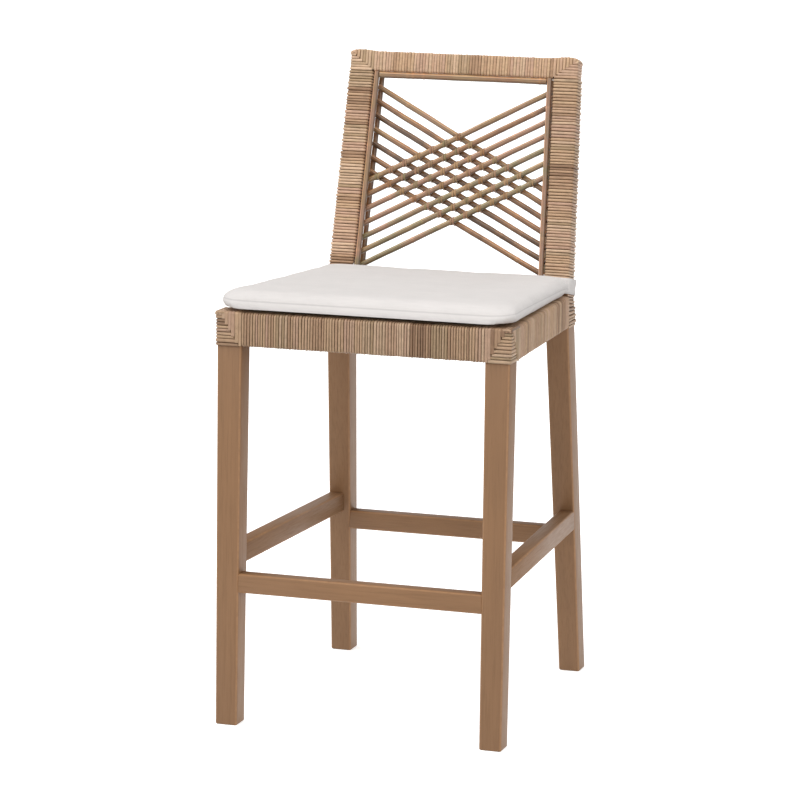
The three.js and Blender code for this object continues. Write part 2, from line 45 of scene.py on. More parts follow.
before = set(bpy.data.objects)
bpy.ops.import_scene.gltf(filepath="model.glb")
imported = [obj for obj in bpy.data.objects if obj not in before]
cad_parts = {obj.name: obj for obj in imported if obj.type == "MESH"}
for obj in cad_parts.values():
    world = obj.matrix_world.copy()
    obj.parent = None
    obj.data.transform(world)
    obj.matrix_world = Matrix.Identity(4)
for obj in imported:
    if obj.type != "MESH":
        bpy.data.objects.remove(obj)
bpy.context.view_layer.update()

MM = 0.001
X, Y, Z = Vector((1, 0, 0)), Vector((0, 1, 0)), Vector((0, 0, 1))
SIDES = {"left": -1, "right": 1}
LATTICE = range(1, 8)


# ---- places taken from the frame ----------------------------------------------------------------

def coordinates(mesh, kind="co"):
    """The places or the normals of a mesh's vertices, one row each."""
    rows = np.empty(len(mesh.vertices) * 3)
    mesh.vertices.foreach_get(kind, rows)
    return rows.reshape(-1, 3)


def vertices(node):
    return coordinates(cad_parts[node].data)


def corner(node, *towards):
    """The vertex of a node that lies furthest in a direction."""
    points = vertices(node)
    return Vector(points[np.argmax(points @ np.array(towards, float))])


def end_rings(node, run, ends=(-1, 1), reach=3.0):
    """The four corners at the ends of a straight member that runs along axis 0, 1 or 2.

    A ring turns about the run. A short reach finds the shoulders behind a tenon."""
    rings = []
    for end in ends:
        ring = []
        for a, b in ((-1, -1), (1, -1), (1, 1), (-1, 1)):
            towards = [a, b, reach * end]
            ring.append(corner(node, *(towards[(axis - run - 1) % 3] for axis in range(3))))
        rings.append(ring)
    return rings


def pole_line(node):
    """The two end centres of a round pole, left or lower end first, and its radius."""
    points = vertices(node)
    middle = points.mean(0)
    axis = np.linalg.svd(points - middle, full_matrices=False)[2][0]
    if axis[0] + 0.5 * axis[2] < 0:
        axis = -axis
    run = (points - middle) @ axis
    start, end = middle + axis * run.min(), middle + axis * run.max()
    away = points - middle - np.outer(run, axis)
    return Vector(start), Vector(end), float(np.linalg.norm(away, axis=1).max())


def centre(node):
    low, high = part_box(node)
    return (low + high) / 2


# The back's own directions: up the lean, and square behind it. Its origin is at the foot of the
# post wraps, on the front plane.
BACK_UP = (centre("cross_pole_top") - centre("cross_pole_bottom")).normalized()
BEHIND = BACK_UP.cross(X)
BACK_FOOT = corner("post_wrap_left", *(-BEHIND - BACK_UP))
BACK_FOOT.x = 0


def on_back(x, behind, up):
    return BACK_FOOT + X * x + BEHIND * behind + BACK_UP * up


def back_coordinates(points):
    """Points as their distance across, behind and up the back."""
    return (points - np.array(BACK_FOOT)) @ np.array([X, BEHIND, BACK_UP]).T


def limits_at(points, level, reach=0.4 * MM):
    """Lowest and highest corner of the points that lie at a level."""
    near = points[abs(points[:, 2] - level) < reach]
    return near.min(0), near.max(0)


def rectangle(u0, u1, v0, v1, place):
    """Four corners in turning order about the direction u x v."""
    return [place(u0, v0), place(u1, v0), place(u1, v1), place(u0, v1)]


def between(ring_a, ring_b, share):
    return [a.lerp(b, share) for a, b in zip(ring_a, ring_b)]


class Post:
    """One bound post of the back: its outside faces at any height up the lean."""

    def __init__(self, side):
        self.side = SIDES[side]
        points = back_coordinates(vertices(f"post_wrap_{side}"))
        self.head = points[:, 2].max()
        self.ends = []
        for level in (0.0, self.head):
            low, high = limits_at(points, level)
            self.ends.append((*sorted((abs(low[0]), abs(high[0]))), high[1]))

    def faces(self, up):
        """Distance of the inner and outer face from the middle, and of the rear face."""
        return [a + (b - a) * up / self.head for a, b in zip(*self.ends)]

    def ring(self, up, inset=0.0):
        inner, outer, rear = self.faces(up)
        low, high = sorted((self.side * (inner + inset), self.side * (outer - inset)))
        return rectangle(low, high, inset, rear - inset, lambda x, y: on_back(x, y, up))


# ---- nodes --------------------------------------------------------------------------------------

def srgb(red, green, blue):
    """A colour given in 0 to 255 steps, made linear."""
    parts = [c / 255 for c in (red, green, blue)]
    linear = [c / 12.92 if c < 0.04045 else ((c + 0.055) / 1.055) ** 2.4 for c in parts]
    return (*linear, 1.0)


def scaled(colour, factor):
    return tuple(c * factor for c in colour[:3])


class Nodes:
    """Short ways to add to a node tree. Any value may be another node's socket."""

    def __init__(self, tree):
        self.tree = tree

    def add(self, kind, values=None, **settings):
        """Adds a node, with its values by socket name or number."""
        node = self.tree.nodes.new(kind)
        for name, value in settings.items():
            setattr(node, name, value)
        for name, value in (values or {}).items():
            self.give(node.inputs[name], value)
        return node

    def give(self, socket, value):
        if isinstance(value, bpy.types.NodeSocket):
            self.tree.links.new(value, socket)
        else:
            socket.default_value = value

    def math(self, operation, a, b=0.0, c=0.0, clamp=False):
        values = {0: a, 1: b, 2: c}
        node = self.add("ShaderNodeMath", values, operation=operation, use_clamp=clamp)
        return node.outputs[0]

    def times(self, a, b):
        return self.math("MULTIPLY", a, b)

    def vector(self, x, y, z=0.0):
        return self.add("ShaderNodeCombineXYZ", {0: x, 1: y, 2: z}).outputs[0]

    def parts(self, vector):
        return self.add("ShaderNodeSeparateXYZ", {0: vector}).outputs

    def ramp(self, factor, *stops):
        """Colours along a factor. A stop's colour may be a number, for a grey."""
        node = self.add("ShaderNodeValToRGB", {"Fac": factor})
        band = node.color_ramp.elements
        while len(band) < len(stops):
            band.new(0.5)
        for element, (place, colour) in zip(band, stops):
            element.position = place
            element.color = (*colour[:3], 1) if hasattr(colour, "__len__") else (*[colour] * 3, 1)
        return node.outputs["Color"]

    def blend(self, how, amount, base, over):
        values = {0: amount, 6: base, 7: over}
        node = self.add("ShaderNodeMix", data_type="RGBA", blend_type=how)
        for number, value in values.items():
            self.give(node.inputs[number], value)
        return node.outputs[2]

    def shaded(self, tone, amount, factor, *stops):
        """A tone multiplied by greys along a factor."""
        return self.blend("MULTIPLY", amount, tone, self.ramp(factor, *stops))

    def noise(self, vector, scale, detail=2.0, roughness=0.5, distortion=0.0, stretch=None):
        if stretch:
            values = {"Vector": vector, "Scale": stretch}
            vector = self.add("ShaderNodeMapping", values).outputs["Vector"]
        values = {"Vector": vector, "Scale": scale, "Detail": detail, "Roughness": roughness}
        values["Distortion"] = distortion
        return self.add("ShaderNodeTexNoise", values).outputs["Fac"]

    def place(self, kind="Object"):
        return self.add("ShaderNodeTexCoord").outputs[kind]

    def attributes(self, *names):
        kind = "ShaderNodeAttribute"
        return [self.add(kind, attribute_name=name).outputs["Fac"] for name in names]


class Finish(Nodes):
    """A procedural material, ended by surface()."""

    def __init__(self, name):
        self.material = bpy.data.materials.new(name)
        self.material.use_nodes = True
        super().__init__(self.material.node_tree)

    def surface(self, colour, roughness, height=None, depth=0.2 * MM, **constants):
        """Sets the shader's colour, roughness and bump. Constants stay unlinked."""
        sockets = self.tree.nodes["Principled BSDF"].inputs
        self.give(sockets["Base Color"], colour)
        self.give(sockets["Roughness"], roughness)
        for name, value in constants.items():
            sockets[name.replace("_", " ")].default_value = value
        if height is not None:
            bump = self.add("ShaderNodeBump", {"Height": height, "Distance": depth})
            self.give(sockets["Normal"], bump.outputs["Normal"])
        return self.material


# ---- materials ----------------------------------------------------------------------------------

def spaced(tones, lightness=1.0):
    """Ramp stops that share the whole range among the tones."""
    return [(i / (len(tones) - 1), scaled(tone, lightness)) for i, tone in enumerate(tones)]


def stained_wood(name, along, base, shade):
    """Stained hardwood whose grain runs along X, Y or Z. Rounded edges are paler, partly from wear
    and partly as a painted highlight.
    """
    wood = Finish(name)
    place = wood.place()
    grain = [0.045 if axis == along else 1.0 for axis in "XYZ"]
    warp = wood.noise(place, 22, 2, 0.5, 0.4, scaled(grain, 0.6))
    fine = wood.noise(place, 420, 4, 0.6, stretch=grain)
    bands = wood.noise(place, 62, 3, 0.55, 1.2, grain)
    figure = wood.math("MULTIPLY_ADD", bands, 0.5, wood.times(warp, 0.5))
    dark, light = scaled(base, 1 - shade), scaled(base, 1 + shade)
    tone = wood.ramp(figure, (0.3, dark), (0.5, base), (0.7, light))
    tone = wood.shaded(tone, 0.45, fine, (0.36, 0.8), (0.5, 1.0), (0.75, 1.06))
    tone = wood.shaded(tone, 0.8, wood.noise(place, 7), (0.3, 0.94), (0.7, 1.05))
    # Paler arrises: part edge wear, part a painted highlight along the rounded edges.
    wear_and_highlight = wood.times(*wood.attributes("edge"), wood.noise(place, 90, 3, 0.6))
    pale = [min(1.0, c) for c in scaled(base, 1.9)]
    tone = wood.blend("MIX", wood.times(wear_and_highlight, 0.9), tone, (*pale, 1))
    rough = wood.ramp(fine, (0.3, 0.58), (0.7, 0.44))
    return wood.surface(tone, rough, fine, 0.18 * MM, Specular_IOR_Level=0.4)


def rattan_peel(name, tones, lightness):
    """Split peel: each strand has its own tone, with fibres along it and painted shade at its
    edges, in the grooves between strands.
    """
    peel = Finish(name)
    tint, across, along, edge_shade_share = peel.attributes("tint", "across", "along", "ring")
    strand = peel.vector(along, peel.times(across, 1.6 * MM), peel.times(tint, 37.0))
    fibres = peel.noise(strand, 1500, 3, 0.6, stretch=(0.09, 1, 1))
    mottle = peel.noise(strand, 48, 3, 0.6, stretch=(1, 0.4, 1))
    flecks = peel.noise(strand, 420, stretch=(0.5, 1, 1))
    tone = peel.ramp(tint, *spaced(tones, lightness))
    tone = peel.shaded(tone, 0.8, fibres, (0.3, 0.8), (0.55, 1.0), (0.8, 1.12))
    tone = peel.shaded(tone, 0.85, mottle, (0.3, 0.78), (0.52, 1.0), (0.75, 1.12))
    tone = peel.shaded(tone, 0.7, flecks, (0.7, 1.0), (0.76, 0.45))
    # Painted shade along each strand's edges, stronger on some strands than on others.
    deep = peel.math("MULTIPLY_ADD", peel.math("POWER", edge_shade_share, 1.6), 0.85, 0.15)
    tone = peel.shaded(tone, deep, peel.math("ABSOLUTE", across), (0.6, 1.0), (1.0, 0.34))
    return peel.surface(tone, 0.5, fibres, 0.2 * MM, Specular_IOR_Level=0.42)


def rattan_pole(name, tones):
    """A whole rattan pole: smooth skin, long fibres, paler rings at its joints, and a painted
    highlight along one side with painted shade along the other.
    """
    pole = Finish(name)
    tint, ring, along, turn = pole.attributes("tint", "ring", "along", "across")
    skin = pole.vector(along, pole.times(turn, 4 * MM), pole.times(tint, 23.0))
    drift = pole.noise(skin, 16, 3, 0.6, stretch=(1, 0.5, 1))
    fibres = pole.noise(skin, 900, 3, 0.6, stretch=(0.06, 1, 1))
    shifted = pole.math("MULTIPLY_ADD", drift, 1.1, pole.math("ADD", tint, -0.55))
    tone = pole.ramp(shifted, *spaced(tones))
    tone = pole.shaded(tone, 0.8, fibres, (0.3, 0.84), (0.55, 1.0), (0.8, 1.08))
    # Painted light round the pole: a painted highlight on one side, painted shade on the opposite
    # side.
    painted_light_sine = pole.math("SINE", pole.times(turn, 2 * math.pi))
    level = pole.math("MULTIPLY_ADD", painted_light_sine, 0.5, 0.5)
    tone = pole.shaded(tone, 1.0, level, (0.05, 1.3), (0.45, 0.92), (1.0, 0.3))
    pale = pole.blend("MULTIPLY", 1.0, tone, (1.45, 1.4, 1.3, 1))
    tone = pole.blend("MIX", pole.times(ring, 0.8), tone, pale)
    gloss = {"Specular_IOR_Level": 0.6, "Coat_Weight": 0.3}
    return pole.surface(tone, 0.36, fibres, 0.12 * MM, **gloss)


def cotton(name, base):
    """Plain-woven cotton canvas, with painted shade along the cushion's seam groove."""
    cloth = Finish(name)
    place = cloth.place()
    yarn = {"Vector": place, "Scale": 420.0, "Distortion": 0.6, "Detail": 1.0, "Detail Scale": 0.4}
    waves = [
        cloth.add("ShaderNodeTexWave", yarn, bands_direction=axis).outputs["Fac"] for axis in "XYZ"
    ]
    # Only the sides take the waves along Z, which would run as contour lines over a level face.
    level = cloth.math("ABSOLUTE", cloth.parts(cloth.place("Normal"))[2])
    upright = cloth.math("SUBTRACT", 0.4, level, clamp=True)
    raised = cloth.times(cloth.math("SUBTRACT", waves[2], 0.5), upright)
    weave = cloth.math("ADD", cloth.times(*waves[:2]), cloth.math("ADD", raised, 0.2))
    slub = cloth.noise(place, 300, 3, 0.6, stretch=(0.12, 1, 1))
    shades = (0.3, scaled(base, 0.955)), (0.7, base)
    tone = cloth.ramp(cloth.noise(place, 14, 3, 0.55), *shades)
    tone = cloth.shaded(tone, 0.55, weave, (0.0, 0.9), (0.5, 1.0))
    tone = cloth.shaded(tone, 0.6, slub, (0.35, 0.95), (0.6, 1.0))
    # Painted shade along the seam groove.
    seam = cloth.math("ABSOLUTE", *cloth.attributes("seam"))
    tone = cloth.shaded(tone, 0.5, seam, (0.02, 0.7), (0.06, 1.0))
    height = cloth.math("ADD", weave, cloth.times(slub, 0.5))
    soft = {"Sheen_Weight": 0.2, "Sheen_Roughness": 0.5, "Specular_IOR_Level": 0.2}
    return cloth.surface(tone, 0.92, height, 0.22 * MM, **soft)


def plywood(name, base):
    panel = Finish(name)
    place = panel.place()
    figure = panel.noise(place, 34, 4, 0.6, 1.6, (1, 0.07, 1))
    fine = panel.noise(place, 600, 3, 0.6, stretch=(1, 0.04, 1))
    tone = panel.ramp(figure, (0.35, scaled(base, 0.72)), (0.65, base))
    tone = panel.shaded(tone, 0.8, fine, (0.35, 0.82), (0.55, 1.0))
    return panel.surface(tone, 0.68, fine)


def bolt_steel(name):
    steel = Finish(name)
    scratches = steel.noise(steel.place(), 900, 4, 0.7)
    tone = steel.ramp(scratches, (0.3, srgb(150, 150, 148)), (0.7, srgb(186, 186, 184)))
    rough = steel.ramp(scratches, (0.3, 0.42), (0.7, 0.28))
    return steel.surface(tone, rough, scratches, 0.04 * MM, Metallic=1.0)


# ---- meshes -------------------------------------------------------------------------------------

def rounded_path(corners, radius, closed=True, steps=3):
    """A path through corners, with each bend made an arc."""
    path = []
    count = len(corners)
    for i, point in enumerate(corners):
        if not closed and i in (0, count - 1):
            path.append(point.copy())
            continue
        before = (corners[i - 1] - point).normalized()
        after = (corners[(i + 1) % count] - point).normalized()
        for step in range(steps + 1):
            turn = step / steps * math.pi / 2
            arc = after * math.cos(turn) + before * math.sin(turn)
            path.append(point + radius * (before + after - arc))
    return path


def outward_directions(path, axis, closed=True):
    """The direction away from the core at each point of a path that turns about an axis."""
    count = len(path)
    result = []
    for i in range(count):
        before = path[i - 1] if closed or i > 0 else path[i]
        after = path[(i + 1) % count] if closed or i < count - 1 else path[i]
        result.append((after - before).cross(axis).normalized())
    return result


def link_object(name, mesh):
    obj = bpy.data.objects.new(name, mesh)
    bpy.context.scene.collection.objects.link(obj)
    return obj


def mesh_object(name, points, faces, material, smooth=True):
    mesh = bpy.data.meshes.new(name)
    mesh.from_pydata([tuple(p) for p in points], [], faces)
    mesh.materials.append(material)
    work = bmesh.new()
    work.from_mesh(mesh)
    bmesh.ops.recalc_face_normals(work, faces=work.faces)
    work.to_mesh(mesh)
    work.free()
    mesh.shade_smooth() if smooth else mesh.shade_flat()
    return link_object(name, mesh)


def tube_faces(sides, sections):
    """The faces of a tube through rings of points, with both its ends."""
    faces = []
    last = (sections - 1) * sides
    for low in range(0, last, sides):
        for i in range(sides):
            after = (i + 1) % sides
            faces.append((low + i, low + after, low + sides + after, low + sides + i))
    return faces + [tuple(range(sides)), tuple(range(last, last + sides))]


def plain_result(obj):
    """Leaves the modifiers' result as the object's plain mesh."""
    depsgraph = bpy.context.evaluated_depsgraph_get()
    evaluated = obj.evaluated_get(depsgraph)
    mesh = bpy.data.meshes.new_from_object(evaluated, depsgraph=depsgraph)
    obj.modifiers.clear()
    obj.data = mesh


def settle(obj, slot, *nodes):
    """Puts a finished piece on the stool's body in place of its CAD nodes."""
    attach(obj, "root")
    if nodes:
        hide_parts(*nodes)


def set_floats(mesh, name, values):
    layer = mesh.attributes.new(name, "FLOAT", "POINT")
    layer.data.foreach_set("value", values)


def timber(name, rings, radius, material):
    """A bar through four-cornered rings, with rounded arrises and eased ends."""
    steps = 4
    ease = radius * 0.5
    ends = []
    for ring, neighbour in (rings[:2], rings[:-3:-1]):
        middle = sum(ring, Vector()) / 4
        inset = [p + (middle - p).normalized() * ease * 1.4 for p in ring]
        length = (sum(neighbour, Vector()) / 4 - middle).length
        ends.append((inset, between(ring, neighbour, ease / length)))
    sections = [*ends[0], *rings[1:-1], *ends[1][::-1]]
    points = [p for section in sections for p in rounded_path(section, radius, steps=steps)]
    # How far round each rounded arris a point lies, for the stain's paler edges: wear and a painted
    # highlight.
    wear_and_highlight = [math.sin(math.pi * step / steps) for step in range(steps + 1)]
    faces = tube_faces(4 * (steps + 1), len(sections))
    obj = mesh_object(f"{name}_piece", points, faces, material)
    set_floats(obj.data, "edge", wear_and_highlight * 4 * len(sections))
    settle(obj, "stained_wood", name)


def eased_copy(node, radius, material, slot):
    """A hard-edged CAD node with its edges eased."""
    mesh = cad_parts[node].data.copy()
    work = bmesh.new()
    work.from_mesh(mesh)
    bmesh.ops.remove_doubles(work, verts=work.verts, dist=0.01 * MM)
    everything = {"verts": work.verts, "edges": work.edges}
    bmesh.ops.dissolve_limit(work, angle_limit=math.radians(1), **everything)
    sharp = [e for e in work.edges if e.calc_face_angle(0) > math.radians(35)]
    bmesh.ops.bevel(
        work, geom=sharp, offset=radius, segments=2, profile=0.5, affect="EDGES",
        clamp_overlap=True,
    )
    bmesh.ops.recalc_face_normals(work, faces=work.faces)
    work.to_mesh(mesh)
    work.free()
    mesh.materials.clear()
    mesh.materials.append(material)
    mesh.shade_flat()
    settle(link_object(f"{node}_piece", mesh), slot, node)


# ---- swept strands and poles --------------------------------------------------------------------

class Bundle:
    """Guide lines of one piece: where each strand runs, which way it faces, and its tone."""

    def __init__(self):
        self.points, self.edges, self.outward = [], [], []
        self.layers = {"tint": [], "size": [], "along": [], "ring": []}

    def add(self, path, outward, tint, closed=True, size=1.0, rings=None, run=0.0):
        start, count = len(self.points), len(path)
        self.points += [tuple(p) for p in path]
        self.outward += [c for direction in outward for c in direction]
        self.edges += [(start + i, start + i + 1) for i in range(count - 1)]
        if closed:
            self.edges.append((start + count - 1, start))
        for i in range(count):
            self.layers["along"].append(run)
            run += (path[(i + 1) % count] - path[i]).length
        self.layers["tint"] += [tint] * count
        self.layers["size"] += size if isinstance(size, list) else [size] * count
        self.layers["ring"] += rings or [0.5] * count

    def swept(self, name, tree, inputs):
        """Sweeps the guides by a node tree, and leaves a plain mesh."""
        mesh = bpy.data.meshes.new(name)
        mesh.from_pydata(self.points, self.edges, [])
        layer = mesh.attributes.new("outward", "FLOAT_VECTOR", "POINT")
        layer.data.foreach_set("vector", self.outward)
        for layer_name, values in self.layers.items():
            set_floats(mesh, layer_name, values)
        obj = link_object(name, mesh)
        modifier = obj.modifiers.new(name, "NODES")
        modifier.node_group = tree
        for socket in tree.interface.items_tree:
            if socket.in_out == "INPUT" and socket.name in inputs:
                modifier[socket.identifier] = inputs[socket.name]
        plain_result(obj)
        obj.data.name = name
        return obj


class Sweep(Nodes):
    """A geometry tree that sweeps an outline along guides, with named inputs for its sizes."""

    def __init__(self, name, *sizes):
        super().__init__(bpy.data.node_groups.new(name, "GeometryNodeTree"))
        sockets = self.tree.interface
        sockets.new_socket("Geometry", in_out="OUTPUT", socket_type="NodeSocketGeometry")
        sockets.new_socket("Guides", in_out="INPUT", socket_type="NodeSocketGeometry")
        for size in sizes:
            sockets.new_socket(size, in_out="INPUT", socket_type="NodeSocketFloat")
        sockets.new_socket("Finish", in_out="INPUT", socket_type="NodeSocketMaterial")
        self.source = self.add("NodeGroupInput").outputs
        self.guides = self.geometry("MeshToCurve", Mesh=self.source["Guides"])

    def geometry(self, kind, settings=None, **values):
        """A geometry node's first output. Its values go by socket name, with _ for a space."""
        values = {name.replace("_", " "): value for name, value in values.items()}
        return self.add(f"GeometryNode{kind}", values, **(settings or {})).outputs[0]

    def stored(self, outline, value):
        """The outline with each point's place across it."""
        kind = {"data_type": "FLOAT"}
        values = {"Geometry": outline, "Name": "across", "Value": value}
        return self.geometry("StoreNamedAttribute", kind, **values)

    def named(self, name, kind="FLOAT"):
        return self.geometry("InputNamedAttribute", {"data_type": kind}, Name=name)

    def end(self, guides, outline):
        """Sweeps the outline along guides that carry their facing and size."""
        facing = self.named("outward", "FLOAT_VECTOR")
        faced = self.geometry("SetCurveNormal", {"mode": "FREE"}, Curve=guides, Normal=facing)
        size = self.named("size")
        swept = self.geometry(
            "CurveToMesh", Curve=faced, Profile_Curve=outline, Scale=size, Fill_Caps=True
        )
        smooth = self.geometry("SetShadeSmooth", Geometry=swept)
        plain = self.geometry("RealizeInstances", Geometry=smooth)
        coloured = self.geometry("SetMaterial", Geometry=plain, Material=self.source["Finish"])
        self.give(self.add("NodeGroupOutput").inputs[0], coloured)
        return self.tree


def peel_tree():
    """Strands of split peel: a low dome on a flat base, swept along each guide."""
    peel = Sweep("Peel Strands", "Strand Width", "Strand Thickness")
    circle = peel.geometry("CurvePrimitiveCircle", Resolution=8, Radius=1.0)
    out, across, _ = peel.parts(peel.geometry("InputPosition"))
    outline = peel.stored(circle, across)
    dome = peel.math("POWER", peel.math("MAXIMUM", out, 0.0), 0.6)
    rise = peel.math("ADD", dome, peel.times(peel.math("MINIMUM", out, 0.0), 0.12))
    half = peel.times(peel.source["Strand Width"], 0.5)
    section = peel.vector(
        peel.times(rise, peel.source["Strand Thickness"]), peel.times(across, half)
    )
    return peel.end(peel.guides, peel.geometry("SetPosition", Geometry=outline, Position=section))


def pole_tree():
    """Round poles: each guide wanders a little, and swells where it has a joint."""
    pole = Sweep("Rattan Poles", "Radius", "Wander")
    place = {"Vector": pole.geometry("InputPosition"), "Scale": 14.0, "Detail": 1.0}
    drift = pole.add("ShaderNodeTexNoise", place).outputs["Color"]
    shift = pole.add("ShaderNodeVectorMath", {0: drift, 1: (0.5, 0.5, 0.5)}, operation="SUBTRACT")
    wander = {0: shift.outputs[0], "Scale": pole.source["Wander"]}
    offset = pole.add("ShaderNodeVectorMath", wander, operation="SCALE").outputs[0]
    guides = pole.geometry("SetPosition", Geometry=pole.guides, Offset=offset)
    circle = pole.geometry("CurvePrimitiveCircle", Resolution=12, Radius=pole.source["Radius"])
    turn = pole.add("GeometryNodeSplineParameter").outputs["Factor"]
    return pole.end(guides, pole.stored(circle, turn))


class Tones:
    """A run of strand tones that stays near one tone for a few strands, then moves on."""

    def __init__(self, rng, spread):
        self.rng, self.spread = rng, spread
        self.left = 0

    def next(self):
        if self.left == 0:
            self.base = self.rng.uniform(0.0, 1.0)
            self.left = self.rng.randint(2, 8)
        self.left -= 1
        tone = self.base + self.rng.uniform(-self.spread, self.spread)
        return min(max(tone, 0.0), 1.0)


# ---- sizes and colours a user may change --------------------------------------------------------

def length(name, description, default, low=0.0, high=0.1):
    return FloatProperty(
        name=name, description=description, default=default, min=low, max=high,
        subtype="DISTANCE", unit="LENGTH", precision=5,
    )


def number(name, description, default):
    return FloatProperty(name=name, description=description, default=default)


def colour(name, description, value):
    return FloatVectorProperty(
        name=name, description=description, default=value, size=4, min=0, max=1, subtype="COLOR",
    )


class WoodSettings(bpy.types.PropertyGroup):
    edge_radius: length("Edge radius", "Rounding of the legs' and stretchers' arrises", 3 * MM)
    housing: length("Housing", "How far a stretcher's end runs on into its leg", 1.5 * MM)
    bend_height: length("Bend height", "Height at which the rear legs turn", 0.575, 0.1, 1)
    stain: colour("Stain", "Colour of the stained hardwood", srgb(138, 102, 70))
    panel: colour("Seat panel", "Colour of the plywood seat panel", srgb(176, 150, 118))


class PeelSettings(bpy.types.PropertyGroup):
    pitch: length("Pitch", "Mean distance from one strand to the next", 4.7 * MM)
    apron_pitch: length("Apron pitch", "Strand distance on the seat frame", 4.2 * MM)
    head_pitch: length("Head pitch", "Strand distance round the leg heads", 5.2 * MM)
    thickness: length("Thickness", "How far the strands stand out from the wood", 2.1 * MM)
    wrap: length("Wrap", "Room the binding takes outside the wood", 2.4 * MM)
    edge_radius: length("Edge radius", "Rounding where a strand turns a corner", 4 * MM)
    apron_radius: length("Apron radius", "Rounding of the seat frame's edges", 5.5 * MM)
    corner_radius: length("Corner radius", "Rounding of the back's outer corners", 8 * MM)
    unevenness: number("Unevenness", "Share by which strand widths differ", 0.16)
    seed: IntProperty(name="Seed", description="Seed of the strands' variation", default=7)


class PoleSettings(bpy.types.PropertyGroup):
    sample: length("Sample", "Distance between sections along a pole", 2.5 * MM)
    wander: length("Wander", "How far a pole strays from a straight line", 1.6 * MM)
    joint_spacing: length("Joint spacing", "Mean distance between a pole's joints", 0.16, 0, 1)
    tie_width: length("Tie width", "Width of one turn of peel round a crossing", 3.6 * MM)
    tie_thickness: length("Tie thickness", "Thickness of the peel round a crossing", 0.5 * MM)
    seed: IntProperty(name="Seed", description="Seed of the poles' variation", default=3)


class CushionSettings(bpy.types.PropertyGroup):
    voxel: length("Voxel", "Mesh size of the cushion before it is blown up", 5 * MM)
    shrink: length("Shrink", "How far the cushion starts inside its outline", 1.0 * MM)
    swell: length("Swell", "The most that a point may move as the cushion fills", 4 * MM)
    ears: length("Ears", "How far the front corners stand out past the sides", 5 * MM)
    tails: length("Tails", "How far the rear corners run out into the ties", 9 * MM)
    waist: length("Waist", "How far the sides pull in between the corners", 1 * MM)
    spread: length("Spread", "How far the filled cushion stands out past its outline", 2 * MM)
    sag: length("Sag", "How far the lower edge settles on to the seat", 7 * MM)
    droop: length("Droop", "How far the lower edge may drop over the seat's front edge", 2 * MM)
    lip: length("Lip", "How far the lower front edge settles forward", 4 * MM)
    seam_height: length("Seam height", "Height of the seam above the seat", 13 * MM)
    seam_depth: length("Seam depth", "Depth of the groove along the seam", 0.8 * MM)
    seam_width: length("Seam width", "Width of the groove along the seam", 4 * MM)
    gathers: length("Gathers", "Depth of the small folds beside the seam", 0.45 * MM)
    tie_width: length("Tie width", "Width of the tapes that tie the cushion on", 24 * MM)
    fabric: colour("Fabric", "Colour of the cotton", srgb(233, 228, 225))


class StageSettings(bpy.types.PropertyGroup):
    focal: number("Focal length", "Lens in mm", 159.76)
    sky: number("Sky", "Strength of the light from all round", 0.6)
    key: number("Key", "Strength of the soft light overhead", 1.75)
    fill: number("Fill", "Power of the fill light in watts", 20)
    bounce: number("Bounce", "Power of the light off the floor in watts", 8)


# ---- operators ----------------------------------------------------------------------------------

class STOOL_OT_frame(bpy.types.Operator):
    """Builds the stained legs and stretchers, and finishes the rails inside the binding"""
    bl_idname = "stool.frame"
    bl_label = "Wooden frame"

    def execute(self, context):
        wood = context.scene.stool_wood
        wrap = context.scene.stool_peel.wrap
        radius = wood.edge_radius
        stains = {a: stained_wood(f"stained wood {a}", a, wood.stain, 0.08) for a in "XYZ"}
        for side in SIDES:
            name = f"front_leg_{side}"
            timber(name, end_rings(name, 2), radius, stains["Z"])
            name = f"rear_leg_{side}"
            foot = end_rings(name, 2)[0]
            low, high = limits_at(vertices(name), wood.bend_height)
            bend = rectangle(
                low[0], high[0], low[1], high[1], lambda x, y: Vector((x, y, wood.bend_height))
            )
            post = Post(side)
            head = back_coordinates(vertices("top_rail_wrap"))[:, 2].max() - wrap
            start = post.ring(-9 * MM, wrap)
            rings = [foot, between(foot, bend, 0.97), bend, start, post.ring(head, wrap)]
            timber(name, rings, radius, stains["Z"])
        stretchers = {"X": ("footrest", "rear_stretcher")}
        stretchers["Y"] = [f"side_stretcher_{side}" for side in SIDES]
        for along, names in stretchers.items():
            for name in names:
                rings = end_rings(name, "XYZ".index(along), reach=0.4)
                housed = [
                    [p + (p - q).normalized() * wood.housing for p, q in zip(ring, other)]
                    for ring, other in (rings, rings[::-1])
                ]
                timber(name, housed, radius, stains[along])
        rails = {"X": ("front_seat_rail", "rear_seat_rail", "back_top_rail")}
        rails["Y"] = [f"side_seat_rail_{side}" for side in SIDES]
        for along, names in rails.items():
            for name in names:
                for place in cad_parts[name].material_slots:
                    place.material = stains[along]
        return {"FINISHED"}


class STOOL_OT_seat_base(bpy.types.Operator):
    """Builds the plywood panel under the cushion, and the bolted corner blocks"""
    bl_idname = "stool.seat_base"
    bl_label = "Seat base"

    def execute(self, context):
        panel = plywood("seat plywood", context.scene.stool_wood.panel)
        blocks = stained_wood("corner block wood", "X", srgb(168, 140, 108), 0.14)
        steel = bolt_steel("bolt steel")
        eased_copy("seat_panel", 0.8 * MM, panel, "plywood")
        for end in ("front", "rear"):
            for side in SIDES:
                eased_copy(f"corner_block_{end}_{side}", 1.2 * MM, blocks, "stained_wood")
                eased_copy(f"corner_bolt_{end}_{side}", 0.5 * MM, steel, "steel")
        return {"FINISHED"}


